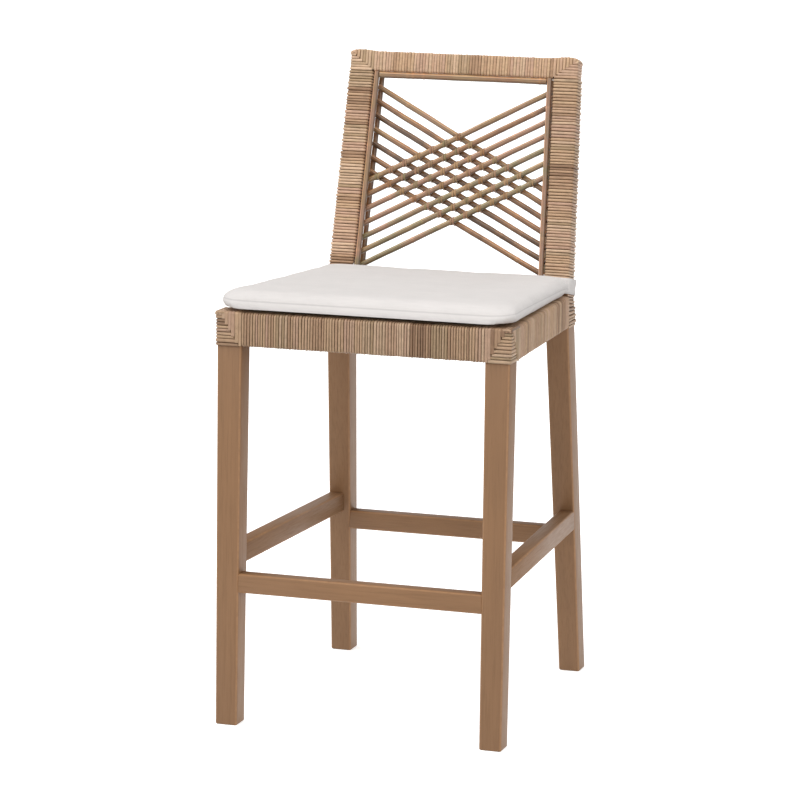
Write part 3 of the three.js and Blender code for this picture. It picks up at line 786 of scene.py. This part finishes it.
class Binder:
    """Lays strands of peel round members, all with the same widths and the same randomness."""

    def __init__(self, settings, seed):
        self.settings = settings
        self.rng = random.Random(settings.seed * 100 + seed)
        self.bundle = Bundle()
        self.tones = Tones(self.rng, 0.18)
        self.lap = 1.0  # more than 1 where strands overlap

    def lay(self, corners, axis, closed=False, size=1.0, radius=None):
        """One strand through corners given on the binding's outside, seen turning about axis."""
        path = rounded_path(corners, radius or self.settings.edge_radius, closed)
        outward = outward_directions(path, axis, closed)
        jitter = 0.25 * MM
        shifts = [self.rng.uniform(-jitter, jitter) for _ in corners]
        per_corner = len(path) / len(corners)
        placed = []
        for i, (point, out) in enumerate(zip(path, outward)):
            shift = shifts[min(int(i / per_corner), len(shifts) - 1)]
            placed.append(point - out * self.settings.thickness + axis.normalized() * shift)
        run = self.rng.uniform(0, 9)
        # How strongly the finish paints shade along this strand's edges.
        edge_shade_shares = [self.rng.random()] * len(placed)
        tone = self.tones.next()
        self.bundle.add(placed, outward, tone, closed, size * self.lap, edge_shade_shares, run)

    def spread(self, run, pitch):
        """Strands side by side along a run: the middle of each, and its width against the pitch."""
        uneven = self.settings.unevenness
        count = max(1, round(run / pitch))
        widths = [self.rng.uniform(1 - uneven, 1 + uneven) for _ in range(count)]
        scale = run / sum(widths)
        done = 0.0
        for width in widths:
            yield done + width * scale / 2, width * scale / pitch
            done += width * scale

    @staticmethod
    def lift(index):
        """How far a strand stands out at a bump: every second one is high."""
        return (0.7 if index % 2 else -0.2) * MM

    def rings(self, ring_at, run, pitch, axis, bumps=(), radius=None):
        """Closed strands along a run. Bumps names the corners that every second strand lifts."""
        for i, (middle, width) in enumerate(self.spread(run, pitch)):
            ring = ring_at(middle / run)
            core = sum(ring, Vector()) / 4
            for k in bumps:
                ring[k] = ring[k] + (ring[k] - core).normalized() * self.lift(i)
            self.lay(ring, axis, True, width, radius)


def fall_back(radius, distance):
    """How far a rounded face lies back at a distance from its corner."""
    reach = max(0.0, radius - distance)
    return radius - math.sqrt(radius * radius - reach * reach)


class STOOL_OT_peel(bpy.types.Operator):
    """Binds the posts, the top rail, the seat rails and the leg heads in rattan peel"""
    bl_idname = "stool.peel"
    bl_label = "Peel binding"

    def execute(self, context):
        self.settings = context.scene.stool_peel
        self.tree = peel_tree()
        tones = [
            srgb(142, 110, 84),
            srgb(176, 142, 112),
            srgb(189, 157, 124),
            srgb(181, 146, 122),
            srgb(198, 168, 139),
            srgb(164, 137, 106),
        ]
        self.pale = rattan_peel("pale rattan peel", tones, 1.15)
        self.palest = rattan_peel("top rattan peel", tones, 1.3)
        self.deep = rattan_peel("seat rattan peel", tones, 0.98)
        self.bind_posts()
        self.bind_top_rail()
        self.bind_seat_rails()
        for side in SIDES:
            self.bind_leg_head(side)
            self.bind_rear_corner(side)
        return {"FINISHED"}

    def finish(self, binder, name, finish, pitch):
        inputs = {"Strand Width": pitch * 0.97, "Strand Thickness": self.settings.thickness}
        piece = binder.bundle.swept(f"{name}_piece", self.tree, {**inputs, "Finish": finish})
        settle(piece, "rattan_peel", name)

    def bind_posts(self):
        pitch = self.settings.pitch
        for seed, side in enumerate(SIDES):
            post = Post(side)
            binder = Binder(self.settings, 10 + seed)
            outer = (1, 2) if post.side > 0 else (0, 3)
            binder.rings(
                lambda share: post.ring(share * post.head), post.head, pitch, BACK_UP, outer
            )
            finish = self.palest if side == "left" else self.pale
            self.finish(binder, f"post_wrap_{side}", finish, pitch)

    def bind_top_rail(self):
        binder = Binder(self.settings, 20)
        binder.lap = 1.12
        pitch = self.settings.pitch
        heights = back_coordinates(vertices("top_rail_wrap"))[:, 2]
        low, high = heights.min(), heights.max()
        posts = [Post(side) for side in SIDES]
        inner = posts[1].faces((low + high) / 2)[0]
        depth = posts[1].faces(high)[2]

        def ring_at(share):
            x = (2 * share - 1) * inner
            return rectangle(0, depth, low, high, lambda y, z: on_back(x, y, z))

        binder.rings(ring_at, 2 * inner, pitch * 0.98, X)
        for post in posts:
            self.bind_top_corner(binder, post, low, high)
        self.finish(binder, "top_rail_wrap", self.palest, pitch)

    def bind_top_corner(self, binder, post, low, high):
        """Strands over the top and strands round the side, which meet on a mitre."""
        pitch, radius = self.settings.pitch, self.settings.corner_radius
        inner_x, outer_x, depth = post.faces(high)
        width, rise = outer_x - inner_x, high - low
        for middle, size in binder.spread(width, pitch):
            x = post.side * (outer_x - middle)
            crown = 2.2 * MM * math.sin(math.pi * min(1.0, middle / width))
            top = high + crown - fall_back(radius, middle)
            foot = min(high - middle / width * rise, top - 5 * MM)
            line = [(0, foot), (0, top), (depth, top), (depth, foot)]
            binder.lay([on_back(x, y, z) for y, z in line], -X, size=size)
        for middle, size in binder.spread(rise, pitch):
            out = outer_x - fall_back(radius, middle) * 0.8
            inside = min(outer_x - middle / rise * width, out - 6 * MM)
            line = [(inside, 0), (out, 0), (out, depth), (inside, depth)]
            corners = [on_back(post.side * x, y, high - middle) for x, y in line]
            binder.lay(corners, BACK_UP * post.side, size=size)

    def bind_seat_rails(self):
        pitch, radius = self.settings.apron_pitch, self.settings.apron_radius
        groups = (
            (30, 0, X, ("front_apron_wrap", "rear_apron_wrap")),
            (40, 1, Y, [f"side_apron_wrap_{side}" for side in SIDES]),
        )
        for seed, along, axis, names in groups:
            for i, name in enumerate(names):
                binder = Binder(self.settings, seed + i)
                ends = end_rings(name, along)
                run = (ends[1][0] - ends[0][0]).length
                binder.rings(lambda share: between(*ends, share), run, pitch, axis, (), radius)
                self.finish(binder, name, self.deep, pitch)

    def bind_leg_head(self, side):
        """Level strands round the leg's outer corner, and strands over the top down to a mitre."""
        name = f"front_corner_wrap_{side}"
        sign = SIDES[side]
        binder = Binder(self.settings, 50 + sign)
        pitch, radius = self.settings.head_pitch, self.settings.edge_radius
        low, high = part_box(name)
        outer = high.x if sign > 0 else low.x
        top, bottom, front = high.z, low.z, low.y
        wide, deep = high.x - low.x, high.y - low.y
        # The mitre: the distance in from the outer corner, and how far below the top it lies.
        across = [0, 9 * MM, 12 * MM, 35 * MM, 60 * MM]
        down = [5 * MM, 5 * MM, 9 * MM, 48 * MM, 60 * MM]

        def foot(distance):
            return max(bottom, top - float(np.interp(distance, across, down)))

        def hang(run, axis, line_at):
            """Strands over the top, away from the rounded corner."""
            for middle, size in binder.spread(run, pitch):
                if middle >= radius / 2:
                    line = line_at(middle, fall_back(radius, middle))
                    binder.lay([Vector(p) for p in line], axis, False, size, radius * 0.8)

        def over_front(middle, back):
            x, y = outer - sign * middle, front + back
            return (x, y, foot(middle)), (x, y, top), (x, high.y, top)

        def over_side(middle, back):
            x, y, height = outer - sign * back, front + middle, top - 0.3 * MM
            return (x, y, foot(middle)), (x, y, height), (outer - sign * 14 * MM, y, height)

        binder.lap = 1.35
        hang(wide, -X, over_front)
        hang(deep, Y * -sign, over_side)
        binder.lap = 1.0
        start = top - down[0]
        for middle, size in binder.spread(start - bottom, pitch):
            z = start - middle
            reach = float(np.interp(top - z, down[1:], across[1:]))
            inner_x, rear_y = outer - sign * min(reach, wide), front + min(reach, deep)
            line = (inner_x, front, z), (outer, front, z), (outer, rear_y, z)
            binder.lay([Vector(p) for p in line], Z * sign, size=size)
        self.finish(binder, name, self.deep, pitch)

    def bind_rear_corner(self, side):
        """Level strands round the bend of the rear leg, up to the post's foot."""
        name = f"rear_corner_wrap_{side}"
        sign = SIDES[side]
        binder = Binder(self.settings, 60 + sign)
        height = bpy.context.scene.stool_wood.bend_height
        grow = self.settings.wrap
        low, high = limits_at(vertices(f"rear_leg_{side}"), height)
        inner, outer = (low[0], high[0] + grow) if sign > 0 else (high[0], low[0] - grow)
        front, rear = low[1], high[1] + grow
        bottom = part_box(name)[0].z
        post_inner, post_outer, depth = Post(side).faces(0)
        foot = [
            on_back(sign * x, y, -3 * MM)
            for x, y in ((post_inner, depth), (post_outer, depth), (post_outer, 0))
        ]
        top = on_back(0, depth, -2 * MM).z
        for i, (middle, size) in enumerate(binder.spread(top - bottom, self.settings.pitch)):
            z = bottom + middle
            level = min(z, height)
            outline = (inner, rear, level), (outer, rear, level), (outer, front, level)
            bend = [Vector(p) for p in outline]
            line = between(bend, foot, (z - level) / (foot[1].z - height))
            line[1].x += sign * binder.lift(i)
            binder.lay(line, Z * -sign, size=size)
        self.finish(binder, name, self.deep, self.settings.pitch)


POLE_TONES = [
    srgb(112, 82, 56),
    srgb(170, 122, 82),
    srgb(176, 140, 96),
    srgb(186, 140, 112),
    srgb(150, 134, 94),
    srgb(194, 154, 112),
]


class STOOL_OT_poles(bpy.types.Operator):
    """Builds the rattan poles of the back, each with its joints and its own tone"""
    bl_idname = "stool.poles"
    bl_label = "Rattan poles"

    def execute(self, context):
        self.settings = context.scene.stool_poles
        self.tree = pole_tree()
        self.skin = rattan_pole("rattan pole skin", POLE_TONES)
        rng = random.Random(self.settings.seed)
        names = [f"side_pole_{layer}_{side}" for side in SIDES for layer in ("front", "rear")]
        names += ["cross_pole_top", "cross_pole_bottom"]
        names += [f"lattice_{layer}_{i}" for layer in ("rising", "falling") for i in LATTICE]
        for name in names:
            self.pole(name, rng)
        return {"FINISHED"}

    def pole(self, name, rng):
        start, end, radius = pole_line(name)
        run = (end - start).length
        count = round(run / self.settings.sample)
        path = [start.lerp(end, i / count) for i in range(count + 1)]
        joints = []
        spacing = self.settings.joint_spacing
        place = rng.uniform(0.1, 1.0) * spacing
        while place < run:
            joints.append(place)
            place += spacing * rng.uniform(0.6, 1.4)
        if name == "cross_pole_top":
            joints = [0.046, 0.055, 0.072, 0.26]
        rings, sizes = [], []
        for i in range(count + 1):
            nearest = min((abs(run * i / count - j) for j in joints), default=1)
            ring = max(0.0, 1 - nearest / (3 * MM))
            rings.append(ring)
            sizes.append(1 + 0.09 * ring + 0.03 * math.sin(i * 0.12 + len(name)))
        tint = rng.uniform(0.1, 0.9)
        # Painted shade: the falling poles lie behind the rising ones, so they take darker tones.
        if name.startswith("lattice_falling"):
            tint *= 0.5
        wander = self.settings.wander * (1.0 if name.startswith("lattice") else 0.5)
        guide = Bundle()
        outward = [-BEHIND] * len(path)
        guide.add(path, outward, tint, False, sizes, rings, rng.uniform(0, 9))
        inputs = {"Radius": radius, "Wander": wander, "Finish": self.skin}
        settle(guide.swept(f"{name}_piece", self.tree, inputs), "rattan_pole", name)


class STOOL_OT_lattice_ties(bpy.types.Operator):
    """Binds each crossing of the lattice with two turns of thin peel"""
    bl_idname = "stool.lattice_ties"
    bl_label = "Lattice ties"

    def execute(self, context):
        settings = context.scene.stool_poles
        rng = random.Random(settings.seed + 40)
        bundle = Bundle()
        rising, falling = [
            [self.flat(f"lattice_{layer}_{i}") for i in LATTICE] for layer in ("rising", "falling")
        ]
        for front in rising:
            for rear in falling:
                self.tie(bundle, front, rear, settings.tie_width, rng)
        inputs = {
            "Strand Width": settings.tie_width,
            "Strand Thickness": settings.tie_thickness,
            "Finish": rattan_peel("tie rattan peel", POLE_TONES[1:], 0.85),
        }
        settle(bundle.swept("lattice_ties", peel_tree(), inputs), "rattan_peel")
        return {"FINISHED"}

    @staticmethod
    def flat(name):
        """A pole in the back's own directions: its ends, slope, depth and radius."""
        *ends, radius = pole_line(name)
        (start, depth, low), (end, _, high) = back_coordinates(np.array(ends))
        return start, end, low, (high - low) / (end - start), depth, radius

    @staticmethod
    def tie(bundle, front, rear, width, rng):
        """Two turns round one crossing, where the two poles meet at all."""
        ax, bx, az, slope_a, front_depth, radius = front
        cx, dx, cz, slope_b, rear_depth, _ = rear
        x = ((cz - slope_b * cx) - (az - slope_a * ax)) / (slope_a - slope_b)
        if not max(ax, cx) < x < min(bx, dx):
            return
        tall = radius * math.hypot(1, slope_a) + 0.25 * MM
        deep = radius + 0.2 * MM
        tint = rng.random()
        for shift in (-0.52, 0.52):
            at = x + shift * width
            halves = (
                (-1, front_depth, az + slope_a * (at - ax)),
                (1, rear_depth, cz + slope_b * (at - cx)),
            )
            line = []
            for way, depth, height in halves:
                for step in range(7):
                    turn = way * math.pi * (step / 6 - 0.5)
                    behind = depth + way * deep * math.cos(turn)
                    line.append(on_back(at, behind, height + tall * math.sin(turn)))
            tone = min(max(tint + rng.uniform(-0.15, 0.15), 0), 1)
            bundle.add(line, outward_directions(line, X), tone, run=rng.uniform(0, 9))


class STOOL_OT_cushion(bpy.types.Operator):
    """Fills the cotton cushion and lays it on the seat"""
    bl_idname = "stool.cushion"
    bl_label = "Seat cushion"

    def execute(self, context):
        self.settings = settings = context.scene.stool_cushion
        self.front = corner("cushion", 0, -1, -1)
        rear = corner("cushion", 0, 1, -2)
        self.slope = (rear.z - self.front.z) / (rear.y - self.front.y)
        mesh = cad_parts["cushion"].data.copy()
        mesh.materials.clear()
        cushion = link_object("cushion_piece", mesh)
        work = bmesh.new()
        work.from_mesh(mesh)
        bmesh.ops.remove_doubles(work, verts=work.verts, dist=0.01 * MM)
        work.normal_update()
        for vertex in work.verts:
            vertex.co -= vertex.normal * settings.shrink
        work.to_mesh(mesh)
        work.free()
        self.modify(cushion, "REMESH", mode="VOXEL", voxel_size=settings.voxel)
        self.fill(context, cushion)
        self.seat(cushion)
        self.modify(cushion, "SMOOTH", factor=0.5, iterations=3)
        self.modify(cushion, "SUBSURF", levels=1, render_levels=1)
        self.shape(cushion)
        self.seat(cushion)
        cushion.data.materials.clear()
        cushion.data.materials.append(cotton("cushion cotton", settings.fabric))
        cushion.data.shade_smooth()
        settle(cushion, "cotton", "cushion")
        return {"FINISHED"}

    @staticmethod
    def modify(obj, kind, **values):
        """Adds a modifier and leaves its result as the plain mesh."""
        modifier = obj.modifiers.new(kind.lower(), kind)
        for name, value in values.items():
            setattr(modifier, name, value)
        plain_result(obj)

    def fill(self, context, cushion):
        """Blows the cushion up from inside, with no weight, and caps how far a point moves."""
        rest = coordinates(cushion.data)
        cloth = cushion.modifiers.new("filling", "CLOTH").settings
        cloth.quality = 5
        cloth.use_pressure = True
        cloth.uniform_pressure_force = 4.0
        cloth.effector_weights.gravity = 0
        cloth.tension_stiffness = 20
        cloth.bending_stiffness = 1.0
        for step in range(1, 21):
            context.scene.frame_set(step)
        plain_result(cushion)
        context.scene.frame_set(1)
        shift = coordinates(cushion.data) - rest
        moved = np.maximum(np.linalg.norm(shift, axis=1, keepdims=True), 1e-9)
        self.place(cushion, rest + shift * np.minimum(1.0, self.settings.swell / moved))

    @staticmethod
    def place(cushion, points):
        cushion.data.vertices.foreach_set("co", points.ravel())
        cushion.data.update()

    def height(self, points):
        """How far points lie above the sloping seat."""
        return points[:, 2] - self.front.z - self.slope * (points[:, 1] - self.front.y)

    def seat(self, cushion):
        """Presses the underside flat on the seat, and lets it droop over the front edge."""
        points = coordinates(cushion.data)
        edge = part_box("front_apron_wrap")[0].y
        over = np.clip(1 - (points[:, 1] - edge) / (5 * MM), 0, 1)
        points[:, 2] -= np.minimum(self.height(points) + over * self.settings.droop, 0)
        self.place(cushion, points)

    def shape(self, cushion):
        """Draws the corners out, pulls the sides in between them, and sinks the edge seam."""
        settings = self.settings
        low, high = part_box("cushion")
        middle, reach = (low + high) / 2, (high - low) / 2
        points = coordinates(cushion.data)
        normals = coordinates(cushion.data, "normal")
        outline = vertices("cushion")
        ends = [
            abs(outline[outline[:, 1] < middle.y, 0]).max(),
            abs(outline[outline[:, 1] > high.y - 25 * MM, 0]).max(),
        ]
        for axis, centre_line in ((0, 0.0), (1, middle.y)):
            away = points[:, axis] - centre_line
            target = reach[axis] + settings.spread
            points[:, axis] = centre_line + away * (target / abs(away).max())
        across = points[:, 0] / np.interp(points[:, 1], [low.y, high.y], ends)
        along = (points[:, 1] - middle.y) / reach.y

        def share(values, power=1):
            return np.clip(values, 0, 1) ** power

        ear = share(abs(across), 8) * share(-along, 8)
        tail = share(abs(across), 8) * share(along, 14)
        side = share(1 - along**2) * share(abs(across), 6)
        end = share(1 - across**2) * share(abs(along), 6)
        up = self.height(points)
        rim = share(1 - ((up - reach.z) / reach.z) ** 2)
        out = ear * settings.ears + tail * settings.tails - side * settings.waist
        points[:, 0] += np.sign(across) * out * rim
        points[:, 1] += np.sign(along) * (ear * settings.ears * 0.6 - end * settings.waist) * rim
        upright = share((1 - abs(normals[:, 2])) * 1.6)
        groove = np.exp(-(((up - settings.seam_height) / (settings.seam_width / 2)) ** 2))
        near = np.exp(-(((up / reach.z - 1) / 0.55) ** 2))
        # Small folds of uneven size and spacing, on the front and the sides alike.
        run = points[:, 0] + 1.3 * points[:, 1]
        folds = np.sin(run * 330 + 2 * np.sin(run * 61)) * np.sin(run * 23 + 1)
        depth = groove * settings.seam_depth + near * folds * settings.gathers
        points -= normals * (upright * depth)[:, None]
        low_edge = share(1 - up / (1.1 * reach.z)) * (1 - share(abs(across), 10))
        points[:, 2] -= settings.sag * low_edge
        points[:, 1] -= settings.lip * low_edge * share(-along, 12)
        # Height from the seam, by which the cotton paints shade along the seam groove.
        set_floats(cushion.data, "seam", (up - settings.seam_height) / reach.z)
        self.place(cushion, points)


class STOOL_OT_cushion_ties(bpy.types.Operator):
    """Wraps the cushion's two cotton ties round the feet of the posts"""
    bl_idname = "stool.cushion_ties"
    bl_label = "Cushion ties"

    def execute(self, context):
        settings = context.scene.stool_cushion
        fabric = cotton("tie cotton", settings.fabric)
        width = settings.tie_width
        for side, sign in SIDES.items():
            name = f"cushion_tie_{side}"
            heights = back_coordinates(vertices(name))[:, 2]
            inner, outer, rear = Post(side).faces(0.01)
            low, high = heights.min() + width / 2, heights.max() - width / 2
            stand = 1.6 * MM
            route = [
                (outer - 24 * MM, -20 * MM, low),
                (outer - 11 * MM, -9 * MM, low),
                (outer, -stand, low),
                (outer + stand * 1.6, 4 * MM, low),
                (outer + stand * 1.6, rear - 3 * MM, low),
                (outer - 1 * MM, rear + stand, low),
                (inner, rear + stand, high),
                (inner - 1 * MM, rear - 2 * MM, high),
                (inner - 1 * MM, 1.5 * MM, high),
            ]
            band = self.band(f"{name}_piece", [Vector(p) for p in route], sign, width, fabric)
            settle(band, "cotton", name)
            run = sum(math.dist(a, b) for a, b in zip(route, route[1:]))
        return {"FINISHED"}

    @staticmethod
    def band(name, route, sign, width, fabric):
        """A thin band along a route, with rolled edges and a slight ripple."""
        half = 0.6 * MM
        path = [a.lerp(b, i / 4) for a, b in zip(route, route[1:]) for i in range(4)]
        path.append(route[-1])
        count = len(path)
        for _ in range(2):
            eased = [(path[i - 1] + path[i] * 2 + path[i + 1]) / 4 for i in range(1, count - 1)]
            path = [path[0], *eased, path[-1]]
        shares = [k / 3 - 1 for k in range(7)]
        points = []
        for i, place in enumerate(path):
            along = path[min(i + 1, count - 1)] - path[max(i - 1, 0)]
            away = Vector((along.y, -along.x, 0)).normalized()
            for face, row in ((1, shares), (-1, shares[::-1])):
                for share in row:
                    thick = face * half * (1.0 if abs(share) < 0.9 else 0.6)
                    ripple = 0.5 * MM * math.sin(i * 0.7 + share * 3)
                    spot = place + away * (thick + ripple) + Z * (share * width / 2)
                    points.append(on_back(sign * spot.x, spot.y, spot.z))
        band = mesh_object(name, points, tube_faces(2 * len(shares), count), fabric)
        # Far from the seam, so that the cotton paints no seam shade on the ties and stays pale.
        set_floats(band.data, "seam", [1.0] * len(points))
        return band


class STOOL_OT_stage(bpy.types.Operator):
    """Sets the pale floor, the soft light and the camera"""
    bl_idname = "stool.stage"
    bl_label = "Stage"

    def execute(self, context):
        settings = context.scene.stool_stage
        self.floor()
        self.sky(context.scene, settings.sky)
        key = self.lamp("key", "SUN", (-0.9, -1.3, 3.2), settings.key)
        key.data.angle = math.radians(70)
        fill = self.lamp("fill", "AREA", (2.6, -2.2, 1.6), settings.fill)
        bounce = self.lamp("bounce", "AREA", (0, 0, 1 * MM), settings.bounce)
        for soft in (fill, bounce):
            soft.data.shape = "DISK"
            soft.data.size = 2.6
        bounce.visible_camera = bounce.visible_glossy = False
        self.camera(context.scene, settings.focal)
        context.scene.view_settings.view_transform = "Standard"
        return {"FINISHED"}

    @staticmethod
    def floor():
        reach = 40
        corners = rectangle(-reach, reach, -reach, reach, lambda x, y: (x, y, 0))
        pale = Finish("pale floor")
        tone = pale.ramp(pale.noise(pale.place(), 0.7), (0.0, 0.93), (1.0, 0.95))
        glow = {"Emission_Color": (1, 1, 1, 1), "Emission_Strength": 0.55}
        finish = pale.surface(tone, 0.9, **glow)
        floor = mesh_object("floor", corners, [(0, 1, 2, 3)], finish, smooth=False)
        # The floor is clear from below, so that the underside of the seat can be looked at.
        below = pale.add("ShaderNodeNewGeometry").outputs["Backfacing"]
        shader = pale.tree.nodes["Principled BSDF"].outputs["BSDF"]
        clear = pale.add("ShaderNodeBsdfTransparent").outputs["BSDF"]
        both = pale.add("ShaderNodeMixShader", {0: below, 1: shader, 2: clear}).outputs[0]
        pale.give(pale.tree.nodes["Material Output"].inputs["Surface"], both)
        floor.visible_diffuse = False

    @staticmethod
    def sky(scene, strength):
        scene.world = bpy.data.worlds.new("studio")
        scene.world.use_nodes = True
        sky = Nodes(scene.world.node_tree)
        height = sky.math("MULTIPLY_ADD", sky.parts(sky.place("Generated"))[2], 0.5, 0.5)
        tone = sky.ramp(height, (0.25, 0.28), (0.42, 1.15), (0.58, 1.4), (1.0, 0.75))
        backdrop = sky.tree.nodes["Background"].inputs
        sky.give(backdrop["Color"], tone)
        sky.give(backdrop["Strength"], strength)

    @staticmethod
    def lamp(name, kind, place, strength):
        light = bpy.data.lights.new(name, kind)
        light.energy = strength
        lamp = link_object(name, light)
        lamp.location = place
        aim = Vector((0, 0, 0.5)) - Vector(place)
        lamp.rotation_euler = aim.to_track_quat("-Z", "Y").to_euler()
        return lamp

    @staticmethod
    def camera(scene, focal):
        lens = bpy.data.cameras.new("camera")
        lens.sensor_width = 36
        lens.lens = focal
        lens.clip_end = 200
        camera = link_object("camera", lens)
        yaw, pitch, roll = 0.30433, -0.17453, 0.01597
        level = Vector((-math.sin(yaw), math.cos(yaw), 0))
        forward = level * math.cos(pitch) + Z * math.sin(pitch)
        right = forward.cross(Z).normalized()
        up = right.cross(forward)
        turn = camera.matrix_world.to_3x3()
        turn.col[0] = right * math.cos(roll) + up * math.sin(roll)
        turn.col[1] = up * math.cos(roll) - right * math.sin(roll)
        turn.col[2] = -forward
        camera.matrix_world = turn.to_4x4()
        camera.location = (1.56896, -5.07242, 1.39725)
        scene.camera = camera


class STOOL_PT_panel(bpy.types.Panel):
    """Lists the stool's sizes and its building steps"""
    bl_idname = "STOOL_PT_panel"
    bl_label = "Bar Stool"
    bl_space_type = "VIEW_3D"
    bl_region_type = "UI"
    bl_category = "Bar Stool"

    def draw(self, context):
        for _, group_name in SETTINGS:
            group = getattr(context.scene, group_name)
            box = self.layout.box()
            for name in group.__annotations__:
                box.prop(group, name)
        for operator in OPERATORS:
            self.layout.operator(operator.bl_idname)


SETTINGS = (
    (WoodSettings, "stool_wood"),
    (PeelSettings, "stool_peel"),
    (PoleSettings, "stool_poles"),
    (CushionSettings, "stool_cushion"),
    (StageSettings, "stool_stage"),
)
OPERATORS = (
    STOOL_OT_frame,
    STOOL_OT_seat_base,
    STOOL_OT_peel,
    STOOL_OT_poles,
    STOOL_OT_lattice_ties,
    STOOL_OT_cushion,
    STOOL_OT_cushion_ties,
    STOOL_OT_stage,
)


def register():
    for group, name in SETTINGS:
        bpy.utils.register_class(group)
        setattr(bpy.types.Scene, name, PointerProperty(type=group))
    for operator in OPERATORS:
        bpy.utils.register_class(operator)
    bpy.utils.register_class(STOOL_PT_panel)


def unregister():
    bpy.utils.unregister_class(STOOL_PT_panel)
    for operator in reversed(OPERATORS):
        bpy.utils.unregister_class(operator)
    for group, name in reversed(SETTINGS):
        delattr(bpy.types.Scene, name)
        bpy.utils.unregister_class(group)


def main():
    register()
    bpy.ops.stool.frame()
    bpy.ops.stool.seat_base()
    bpy.ops.stool.peel()
    bpy.ops.stool.poles()
    bpy.ops.stool.lattice_ties()
    bpy.ops.stool.cushion()
    bpy.ops.stool.cushion_ties()
    bpy.ops.stool.stage()


if __name__ == "__main__":
    main()
